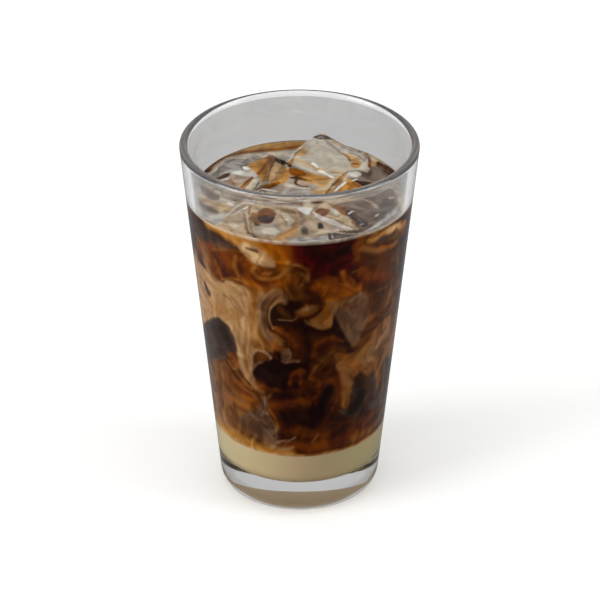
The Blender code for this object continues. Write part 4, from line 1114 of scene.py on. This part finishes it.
        ("clay", [(-18, -15.4), (-16.4, -12.6), (-15.2, -14.6), (-14.6, -18.4), (-14, -21.6),
             (-15.6, -24.6), (-17, -20.8)], 0, 0.4, 0.9, 0.3),
        ("taupe", [(-17.8, -10.6), (-16, -9), (-14, -9.6), (-15.2, -12.2)], 0, 0.4, 0.8, 0.1),
        ("cocoa", [(-15.4, -16.2), (-14.6, -11.8), (-12.6, -9.8), (-10.4, -10.6), (-8.8, -14.6),
             (-9.6, -20), (-11.4, -22.6), (-14, -21.8)], 0, 0.36, 1.0, 0.12),
        ("clay", [(-13, -11.8), (-11.4, -11.2), (-10, -13)], 0.9, 0.56, 0.5, 0.2),
        ("bark", [(-14.8, -16.6), (-12.6, -15.6), (-10.4, -16.2), (-9.2, -18.4), (-10.6, -21.8),
             (-13.2, -22), (-14.6, -19.6)], 0, 0.56, 0.95, 0.15),
        ("char", [(-12.4, -20.4), (-10.8, -20.2), (-9.8, -18.2)], 1.0, 0.64, 0.85, 0.1),
        ("bark", [(-16.2, -21.6), (-15.2, -23.4), (-14.4, -22.8)], 0.6, 0.4, 0.85, 0.1),
        ("taupe", [(-9, -11.4), (-8, -14.8), (-8.4, -19.2), (-10, -23)], (0.7, 0.9), 0.4, 0.95, 0.05),
        ("crema", [(-13.4, -8.8), (-10.8, -9.2), (-8.6, -11), (-7.2, -14.6)], (0.5, 0.6), 0.32, 0.95, 0.03),
        ("steel", [(-14.2, -23.2), (-12, -24.6), (-9.8, -24.2), (-7.8, -21.8)], 0.4, 0.32, 0.8, 0.05),
        ("cocoa", [(-7.4, -10.2), (-4.8, -11), (-2.2, -12.2), (-1.2, -14.6), (-3.6, -14.6), (-6.2, -12.6)],
             0, 0.32, 0.75, 0.25),
        ("pale", [(-6.8, -14), (-4.4, -14.8), (-2.2, -19.2), (-3.4, -25.4), (-5.2, -21.6)], 0, 0.32, 0.9,
             0.05),
        ("toffee", [(-7, -15.8), (-5.6, -19.2), (-4.4, -22.8)], 0.26, 0.26, 1.0, 0.01),
        ("cocoa", [(-3.6, -16.2), (-2.4, -19)], 0.35, 0.32, 0.6, 0.2),
        ("honey", [(-8.8, -34), (-7.2, -29.6), (-3.6, -26.6), (-1.4, -21.6), (0.4, -20), (0.4, -26.2),
             (-2.2, -30.8), (-5, -33.8)], 0, 0.48, 0.75, 0.2),
        ("taupe", [(-3.6, -33), (-0.8, -31.2), (1, -30)], 0.5, 0.48, 0.7, 0.2),
        ("taupe", [(-1.2, -10.6), (0.4, -14.6), (0, -20)], 0.6, 0.4, 0.8, 0.1),
        ("taupe", [(0.8, -14.6), (5.2, -13.8), (10.2, -19.2), (16.8, -26.2), (12.4, -30), (2.2, -31.4),
             (-0.8, -25.4)], 0, 0.48, 0.9, 0.2),
        ("crema", [(1.8, -16.2), (4.4, -19.2), (6.6, -25.4), (9.4, -28.4)], 1.6, 0.96, 0.75, 0.2),
        ("pale", [(6.6, -28.4), (10.2, -28.4), (13.8, -27.4)], 0.8, 0.64, 0.7, 0.15),
        ("cocoa", [(0, -13), (0.4, -16.2)], 0.8, 0.48, 0.7, 0.2),
        ("glint", [(-0.8, -10.2), (4.8, -10), (3.6, -13.8), (2.8, -15.6), (1.2, -14.2)], 0, 0.28, 0.95,
             0.02),
        ("steel", [(4, -13.4), (4.8, -11), (6.6, -9.4)], 0.24, 0.26, 0.95, 0.01),
        ("bark", [(5, -6), (8.4, -6)], 0.9, 0.32, 0.95, 0.05),
        ("cocoa", [(-0.8, -6.8), (0.8, -6.8)], 0.7, 0.32, 0.8, 0.05),
        ("taupe", [(9, -6.4), (13.4, -5.4)], 0.5, 0.4, 0.8, 0.1),
        ("ash", [(1.6, -25.6), (2, -30)], (1.2, 1.3), 0.56, 0.95, 0.05),
        ("bark", [(1.8, -27), (2, -29.2)], 0.7, 0.56, 0.6, 0.05),
        ("taupe", [(7.2, -20), (8, -23)], 1.5, 0.64, 0.6, 0.2),
        ("char", [(7.6, -22.4), (7.8, -25.4)], (1.0, 1.1), 0.36, 1.0, 0.05),
        ("painted_reflection", [(-5.8, -36), (-0.8, -33.4), (5, -33), (9.8, -31.4), (10, -35), (5, -37), (0, -38),
             (-3.6, -38)], 0, 0.36, 1.0, 0.03),
        ("steel", [(0, -34.6), (4.4, -34.2), (8.8, -33.4)], 0.8, 0.56, 0.8, 0.1),
        ("ash", [(0, -32.8), (5, -31.8), (9.4, -30.4)], 0.3, 0.32, 0.8, 0.1),
        ("frost", [(-5, -37.2), (0, -37), (5.8, -36.4)], 0.8, 0.4, 0.9, 0.03),
        ("slate", [(11.2, -7.4), (17, -5.2), (22.4, -2.8), (28.4, 0.4), (34, 5), (36.6, -0.4), (36.4, -6.8),
             (34, -13), (30.2, -19.2), (26.4, -23.8), (22.6, -25.4), (18.4, -16.2)], 0, 0.48, 1.0, 0.1),
        ("ash", [(28.2, -5.2), (31.4, -1.2), (32.6, -8.2), (29.6, -14.6)], 0, 0.96, 0.6, 0.2),
        ("cocoa", [(11.2, -7), (16.4, -6), (20.8, -4)], 0.5, 0.4, 0.6, 0.2),
        ("crema", [(12.6, -7), (17, -5.2), (21.2, -3.6)], 0.4, 0.32, 0.9, 0.03),
        ("taupe", [(21.2, -3.6), (23.8, -3.6), (26.4, -5.6), (28.2, -9.6)], (0.4, 0.9), 0.36, 0.9, 0.1),
        ("ash", [(23.8, -5.6), (26, -8.2), (27.6, -11.4)], 0.3, 0.32, 0.6, 0.1),
        ("stone", [(19.2, -9), (21.4, -10.6), (23, -10.6)], 0.5, 0.64, 0.4, 0.2),
        ("crema", [(9.2, -15.4), (11, -11.8), (14.4, -15), (17.2, -18.4), (19.4, -21.6), (21.2, -25.8),
             (18.4, -25), (14, -20.8)], 0, 0.32, 1.0, 0.1),
        ("frost", [(11.2, -9.8), (12.8, -11.8), (14.4, -15), (13.2, -15.8), (11.6, -13.4)], 0, 0.26, 0.95,
             0.02),
        ("cocoa", [(12.2, -8.6), (15.2, -8.6), (17.8, -11.8), (18.6, -14), (17, -16.6), (14.8, -13.4),
             (13.2, -11.4)], 0, 0.32, 0.95, 0.15),
        ("toffee", [(13.4, -9.8), (15.6, -11.8), (17, -14.6)], 0.4, 0.48, 0.5, 0.2),
        ("cocoa", [(5.4, -13), (7, -10.6), (9.2, -10.4), (10.8, -11.4), (10.2, -14.8), (8.6, -16.6),
             (7, -15)], 0, 0.28, 1.0, 0.15),
        ("toffee", [(6.6, -13), (8.6, -12.6), (9.6, -14.6)], 0.5, 0.4, 0.7, 0.25),
        ("char", [(17, -14), (18.4, -12.6), (20.6, -15.4), (22.8, -18.4), (24.4, -21.6), (24.2, -24.6),
             (22, -24.2), (20.2, -22.4), (18.2, -18.4)], 0, 0.36, 0.9, 0.2),
        ("ash", [(19.2, -15), (21.4, -18), (23.2, -21)], 0.5, 0.4, 0.6, 0.2),
        ("cocoa", [(19, -21), (20.6, -23.8), (22, -26.2)], 0.6, 0.4, 0.85, 0.2),
        ("bark", [(21.2, -22.8), (23, -25.4)], 0.6, 0.4, 0.7, 0.2),
        ("glint", [(18.2, -14.6), (19.4, -13)], 0.4, 0.26, 0.95, 0),
        ("glint", [(27.4, -16.4), (28.4, -14.8)], 0.35, 0.26, 0.85, 0),
        ("glint", [(22.2, -23), (22.8, -22.6)], 0.3, 0.26, 0.7, 0),
        ("pale", [(33.2, -2.4), (35.4, -1.8)], 0.5, 0.32, 0.7, 0.02),
        ("frost", [(4.6, -12.8), (7.4, -15.8), (10.6, -18.2), (14, -21), (16.8, -24.4), (19.4, -26),
             (16.4, -26.4), (12.8, -23.8), (9.6, -20.8), (6.2, -17.4)], 0, 0.28, 0.95, 0.03),
        ("bark", [(9.6, -16.4), (12.8, -19), (16.2, -22.2), (19, -25)], 0.2, 0.26, 0.95, 0.01),
        ("bark", [(13.8, -27.6), (18.2, -27.4), (22.6, -26.4), (26, -22.8), (26.4, -25), (22.6, -29),
             (18.2, -29.6), (15.4, -29)], 0, 0.36, 0.95, 0.12),
        ("ash", [(10.2, -30), (12.8, -29), (16.4, -30), (21.2, -31), (18.6, -34.8), (14.6, -36.8),
             (11.6, -36.8), (10.6, -33.8)], 0, 0.32, 1.0, 0.15),
        ("char", [(10.4, -30), (11.2, -33), (12, -36)], 0.7, 0.4, 0.8, 0.15),
        ("char", [(12.8, -30), (15, -31.2)], 0.5, 0.48, 0.6, 0.2),
        ("frost", [(11.2, -31), (11.8, -33)], 0.3, 0.26, 0.7, 0.02),
        ("frost", [(16.8, -33), (17.4, -33.4)], 0.45, 0.26, 0.8, 0.02),
        ("taupe", [(15.6, -29.8), (19.4, -30.2), (22.6, -28.8), (25.2, -26)], 0.3, 0.28, 0.85, 0.05),
        ("steel", [(22.6, -30), (26.4, -25.4), (30.2, -19.2), (33.2, -13.4), (35.6, -8.2), (36.6, -11.4),
             (33.4, -18.4), (29.6, -24.6), (25.6, -29.2)], 0, 0.4, 0.95, 0.1),
        ("painted_reflection", [(27.2, -24.4), (30.6, -19), (33.6, -13)], 0.9, 0.56, 0.8, 0.1),
        ("frost", [(21.8, -30.2), (25.2, -26.4), (29.4, -21.4), (33.2, -15.4), (35.6, -9.6)], (0.35, 0.5),
             0.28, 0.95, 0.03),
        ("ash", [(26.4, -22.8), (29.4, -18.2), (32.6, -12.6), (34.6, -7.4)], 0.3, 0.32, 0.7, 0.05),
    ],
}


class Lattice:
    # smooth random numbers through space, from one seed
    def __init__(self, seed, size=32):
        self.size = size
        self.values = np.random.RandomState(seed).rand(size ** 3)

    def at(self, places):
        size = self.size
        cell = np.floor(places).astype(int)
        part = places - cell
        part = part ** 3 * (part * (part * 6 - 15) + 10)
        total = 0.0
        for corner in range(8):
            steps = (corner & 1, corner >> 1 & 1, corner >> 2)
            share, index = 1.0, 0
            for axis, step in enumerate(steps):
                share = share * (part[:, axis] if step else 1 - part[:, axis])
                index = index * size + (cell[:, axis] + step) % size
            total = total + share * self.values[index]
        return total * 2 - 1

    def cloud(self, places, size, octaves):
        total = 0.0
        for octave in range(octaves):
            total = total + self.at(places * 2 ** octave / size + 7.3 * octave) / 2 ** octave
        return total


lattices = {seed: Lattice(seed) for seed in (3, 5, 11, 23)}


def grain(kind, places):
    # noise round 0.5
    seed, size, octaves, depth = swirl["grains"][kind]
    return lattices[seed].cloud(places, size, octaves) * depth + 0.5


def smoothStep(value, low, high):
    share = np.clip((value - low) / (high - low), 0, 1)
    return share * share * (3 - 2 * share)


def wrapped(across, height, stretch=1.0):
    # an unrolled place taken back to space, so that the noise has no seam
    radius = swirl["radius"]
    turn = across / radius
    return np.stack([radius * np.sin(turn), -radius * np.cos(turn), height * stretch], axis=1)


def level(across, height, stretch=1.0):
    # a place on the top, where nothing is stretched
    return np.stack([across, height, np.full(len(across), 3.1)], axis=1)


def carried(across, height, spread, flow):
    # carries each place back along slow flows of random eddies
    gap = swirl["eddyGap"]
    for seed, drift, size, steps in swirl["flows"][flow]:
        eddies = lattices[seed]
        for step in range(steps):
            rise = eddies.cloud(spread(across, height + gap), size, 1)
            rise = rise - eddies.cloud(spread(across, height - gap), size, 1)
            slide = eddies.cloud(spread(across + gap, height), size, 1)
            slide = slide - eddies.cloud(spread(across - gap, height), size, 1)
            across = across + drift / steps * rise / gap * size / 4
            height = height - drift / steps * slide / gap * size / 4
    return across, height


def curved(points, cuts, closed):
    # a smooth line through the given points
    points = [np.array(point, dtype=float) for point in points]
    ring = points[-1:] + points + points[:2] if closed else points[:1] + points + points[-1:]
    line = []
    for before, start, end, after in zip(ring, ring[1:], ring[2:], ring[3:]):
        for cut in range(cuts):
            share = cut / cuts
            line.append(0.5 * (2 * start + (end - before) * share
                               + (2 * before - 5 * start + 4 * end - after) * share ** 2
                               + (3 * start - before - 3 * end + after) * share ** 3))
    return line if closed else line + points[-1:]


def insideStroke(across, height, points, width):
    # how far inside a stroke each place lies, the way along it and the way beside it
    first, last = width if isinstance(width, tuple) else (width, width)
    line = curved(points, 5 if len(points) > 2 else 1, False)
    total = sum(np.hypot(*(end - start)) for start, end in zip(line, line[1:]))
    inside = np.full(across.shape, -1e9)
    along = np.zeros(across.shape)
    beside = np.zeros(across.shape)
    done = 0.0
    for start, end in zip(line, line[1:]):
        span = max(np.hypot(*(end - start)), 1e-6)
        wayX, wayY = (end - start) / span
        offX, offY = across - start[0], height - start[1]
        part = np.clip(offX * wayX + offY * wayY, 0, span)
        away = np.hypot(offX - part * wayX, offY - part * wayY)
        gain = first + (last - first) * (done + part) / total - away
        near = gain > inside
        inside = np.where(near, gain, inside)
        along = np.where(near, done + part, along)
        beside = np.where(near, np.sign(offY * wayX - offX * wayY) * away, beside)
        done += span
    return inside, along, beside


def insidePatch(across, height, points):
    # how far inside a closed outline each place lies
    line = curved(points, 3, True)
    away = np.full(across.shape, 1e9)
    crossed = np.zeros(across.shape, dtype=bool)
    for start, end in zip(line, line[1:] + line[:1]):
        wayX, wayY = end - start
        offX, offY = across - start[0], height - start[1]
        part = np.clip((offX * wayX + offY * wayY) / max(wayX ** 2 + wayY ** 2, 1e-9), 0, 1)
        away = np.minimum(away, np.hypot(offX - part * wayX, offY - part * wayY))
        if abs(wayY) > 1e-9:
            spans = (start[1] > height) != (end[1] > height)
            crossed ^= spans & (across < start[0] + wayX * offY / wayY)
    return np.where(crossed, away, -away)


def paintStrokes(across, height, spread, strokes):
    # lays the strokes over one another, each carried along by the flow as far as it is ragged
    calm = carried(across, height, spread, "calm")
    stirred = carried(across, height, spread, "stirred")
    drawn = carried(*stirred, spread, "drawn")
    thread = np.clip(grain("thread", spread(*drawn, swirl["stretch"])), 0, 1)
    speckle = grain("speckle", spread(*stirred, swirl["stretch"]))
    tint = np.zeros((len(across), 3))
    for number, (tone, points, width, soft, strength, ragged) in enumerate(strokes):
        margin = (max(width) if isinstance(width, tuple) else width) + soft + swirl["margin"]
        xs, ys = zip(*points)
        near = ((across > min(xs) - margin) & (across < max(xs) + margin)
                & (height > min(ys) - margin) & (height < max(ys) + margin))
        if not near.any():
            continue
        x = calm[0][near] + (stirred[0][near] - calm[0][near]) * ragged
        y = calm[1][near] + (stirred[1][near] - calm[1][near]) * ragged
        rough = thread[near]
        if width == 0:
            inside = insidePatch(x, y, points)
        else:
            inside, along, beside = insideStroke(x, y, points, width)
            apart = np.full(len(x), number * swirl["streakGap"])
            streak = grain("streak", np.stack([along / swirl["streakLength"], beside, apart], axis=1))
            rough = np.clip(rough + (streak - rough) * swirl["streakShare"], 0, 1)
        frayed = inside + (0.5 - rough) * ragged * soft * swirl["fray"]
        share = smoothStep(frayed, -soft, soft) * strength
        share = share * (1 - swirl["gaps"] * ragged * smoothStep(rough, *swirl["gapsFrom"]))
        light, dark = [np.array(colour(*shade)) for shade in swirl["tones"][tone]]
        darker = smoothStep(rough, *swirl["darkFrom"])[:, None]
        tint[near] += (light + (dark - light) * darker - tint[near]) * share[:, None]
    shade = 1 + swirl["threadShade"] * (0.5 - thread)
    return tint * (shade * (1 + swirl["speckleShade"] * (speckle - 0.5)))[:, None]


def enriched(tint, richness, veil, gain):
    # makes up for the veil and the grey that the glass lays over the colours
    grey = tint.mean(axis=1, keepdims=True)
    return np.clip((grey + (tint - grey) * richness - veil) * gain, 0.001, 1)


def paintTop(right, back):
    middle, radius, soft = drink["mouth"]
    behindWall = smoothStep(np.hypot(right, back - middle), radius, radius + soft)[:, None]
    gain = drink["openGain"] + (drink["wallGain"] - drink["openGain"]) * behindWall
    veil = drink["openVeil"] + (drink["wallVeil"] - drink["openVeil"]) * behindWall
    # the strokes hold painted highlights, reflections and shade besides the colours of the drink
    tint = paintStrokes(right, back, level, swirl["top"])
    return enriched(tint, drink["topRichness"], veil, gain)


def placesOf(obj):
    # every vertex in millimetres
    places = np.empty(len(obj.data.vertices) * 3, dtype=np.float32)
    obj.data.vertices.foreach_get("co", places)
    return places.reshape(-1, 3).astype(float) / mm


def storeTint(obj, tint):
    layer = obj.data.attributes.new("tint", "FLOAT_COLOR", "POINT")
    opaque = np.ones((len(tint), 1))
    layer.data.foreach_set("color", np.hstack([tint, opaque]).astype(np.float32).ravel())


def slanted(places):
    # where the slanting look from the front, through each place, meets the level of the drink
    rise = places[:, 2] - drink["coffeeLevel"] / mm
    back = places[:, 1] + (iceFinish["lean"] + iceFinish["leanGrowth"] * places[:, 1]) * rise
    return places[:, 0] * (1 + iceFinish["spread"] * rise), back


def paintIce(ice):
    # the top strokes, painted highlights, reflections and shade among them, laid on the ice as seen from the
    # front
    storeTint(ice, paintTop(*slanted(placesOf(ice))))


def paintSide(places):
    turn = np.arctan2(places[:, 0], -places[:, 1])
    # the back repeats the front, bent by a flow of its own
    mirrored = np.where(np.abs(turn) <= pi / 2, turn, np.sign(turn) * pi - turn)
    first, last = swirl["hiddenFrom"]
    hidden = smoothStep(np.abs(turn), radians(first), radians(last))
    rolled, height = turn * swirl["radius"], places[:, 2]
    bentRolled, bentHeight = carried(rolled, height, wrapped, "hidden")
    across = mirrored * swirl["radius"] + (bentRolled - rolled) * hidden
    height = height + (bentHeight - height) * hidden
    strokes = [(tone, [(radians(angle) * swirl["radius"], up) for angle, up in points], *rest)
               for tone, points, *rest in swirl["side"]]
    tint = paintStrokes(across, height, wrapped, strokes)
    return enriched(tint, drink["sideRichness"], drink["sideVeil"], drink["sideGain"])


def paintFromAbove(places):
    # what lies under the ice is seen bent through it, and what rises above the level leans
    surface = drink["coffeeLevel"] / mm
    depth = np.maximum(surface - places[:, 2], 0)
    back = np.where(places[:, 2] > surface, slanted(places)[1], places[:, 1])
    back += np.where(depth > 0.1, drink["iceLift"] - drink["iceSlope"] * depth, 0)
    return paintTop(places[:, 0], back)


def meniscusHighlight(places, inward):
    # how much of the painted highlight, a pale line where the drink meets the front wall, lies on each place
    (wide, narrow), (low, high) = drink["lineWidth"], drink["lineHeight"]
    line = smoothStep(-inward, -wide, -narrow) * smoothStep(-places[:, 1], *drink["lineFront"])
    rise = drink["meniscusRise"] * (1 + climbOf(np.arctan2(places[:, 0], -places[:, 1])))
    crest = (drink["coffeeLevel"] + rise) / mm
    patches = lattices[drink["lineSeed"]].at(places / drink["lineSize"])
    line = line * smoothStep(places[:, 2], crest - low, crest - high)
    return line * (drink["lineStrength"] + drink["linePatches"] * patches)


def paintCoffee(coffee):
    places = placesOf(coffee)
    surface = drink["coffeeLevel"] / mm
    inward = (innerRadius(places[:, 2] * mm) + drink["reach"]) / mm - np.hypot(places[:, 0], places[:, 1])
    backFilm = (places[:, 2] > surface + drink["film"]) & (places[:, 1] > 0)
    side = (inward < drink["film"]) & ~backFilm
    tint = np.ones((len(places), 3))
    tint[side] = paintSide(places[side])
    tint[~side] = paintFromAbove(places[~side])
    highlightColour = np.array(colour(*drink["highlightColour"])) * drink["sideGain"]
    # the painted highlight along the front edge of the surface
    tint += (highlightColour - tint) * meniscusHighlight(places, inward)[:, None]
    storeTint(coffee, tint)
    lowest = drink["coffeeLevel"] - drink["surfaceDepth"] * mm
    for face in coffee.data.polygons:
        face.material_index = int(face.center.z > lowest and face.normal.z > drink["surfaceSlope"])


def coffeeMaterial(name, shine, roughness):
    paint = Paint(name)
    return paint.finish(paint.shader({"Base Color": paint.tint(), "Roughness": roughness,
                                      "IOR": drink["index"], "Specular IOR Level": shine}))


def makeCoffee():
    coffee = makeCoffeeBody([makePocket(name, block) for name, block in iceBlocks.items()])
    paintCoffee(coffee)
    coffee.data.materials.append(coffeeMaterial("coffee_behind_glass", 0.0, drink["sideRoughness"]))
    coffee.data.materials.append(coffeeMaterial("coffee_surface", drink["surfaceShine"],
                                                drink["surfaceRoughness"]))
    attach(coffee, "root")
    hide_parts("coffee")
    print("coffee made", len(coffee.data.polygons))


milk = {
    "steps": 160, "smoothAngle": 40, "roughness": 0.4,
    "halfWidth": 28 * mm, "cloudSize": 12 * mm, "cloud": 16 * mm,   # how far the tones below are blurred
    "tones": ((0.0, (198, 184, 142)), (0.3, (192, 172, 130)), (0.5, (188, 162, 122)),
              (0.75, (168, 150, 110)), (1.0, (164, 152, 106))),   # from left to right
    "edge": (15.5 * mm, 15.1 * mm, 14.8 * mm), "edgeColour": (112, 78, 46), "edgeShare": 0.6,
    "under": (15.0 * mm, 14.4 * mm), "underColour": (196, 168, 124),
}


def milkMaterial():
    paint = Paint("condensed_milk")
    split = paint.node("SeparateXYZ", {}, {0: paint.place()}).outputs
    cloud = (paint.noise(milk["cloudSize"], 2, 0.5) - 0.5) * milk["cloud"]
    across = paint.mapRange(Wire(paint, split["X"]) + cloud, -milk["halfWidth"], milk["halfWidth"], "LINEAR")
    tone = paint.ramp(across, [(at, colour(*shade)) for at, shade in milk["tones"]])
    top, middle, foot = milk["edge"]   # a brown line round the foot
    edge = paint.mapRange(split["Z"], top, middle) - paint.mapRange(split["Z"], middle, foot)
    tone = paint.mix(edge * milk["edgeShare"], tone, (*colour(*milk["edgeColour"]), 1))
    under = paint.mapRange(split["Z"], *milk["under"])
    tone = paint.mix(under, tone, (*colour(*milk["underColour"]), 1))
    return paint.finish(paint.shader({"Base Color": tone, "Roughness": milk["roughness"]}))


def makeMilk():
    edge = (innerRadius(drink["milkLevel"]) + drink["reach"], drink["milkLevel"])
    foot = (0, glass["base"] - drink["reach"])
    outline = [(0, drink["milkLevel"]), edge] + floorArc(drink["reach"]) + [foot]
    layer = lathe("condensed_milk_layer", outline, milk["steps"])
    smoothByAngle(layer, milk["smoothAngle"])
    layer.data.materials.append(milkMaterial())
    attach(layer, "root")
    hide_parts("condensed_milk")
    print("milk made")


makeCamera()
makeLights()
makeFloor()
print("studio made")
makeGlass()
makeIce()
makeCoffee()
makeMilk()
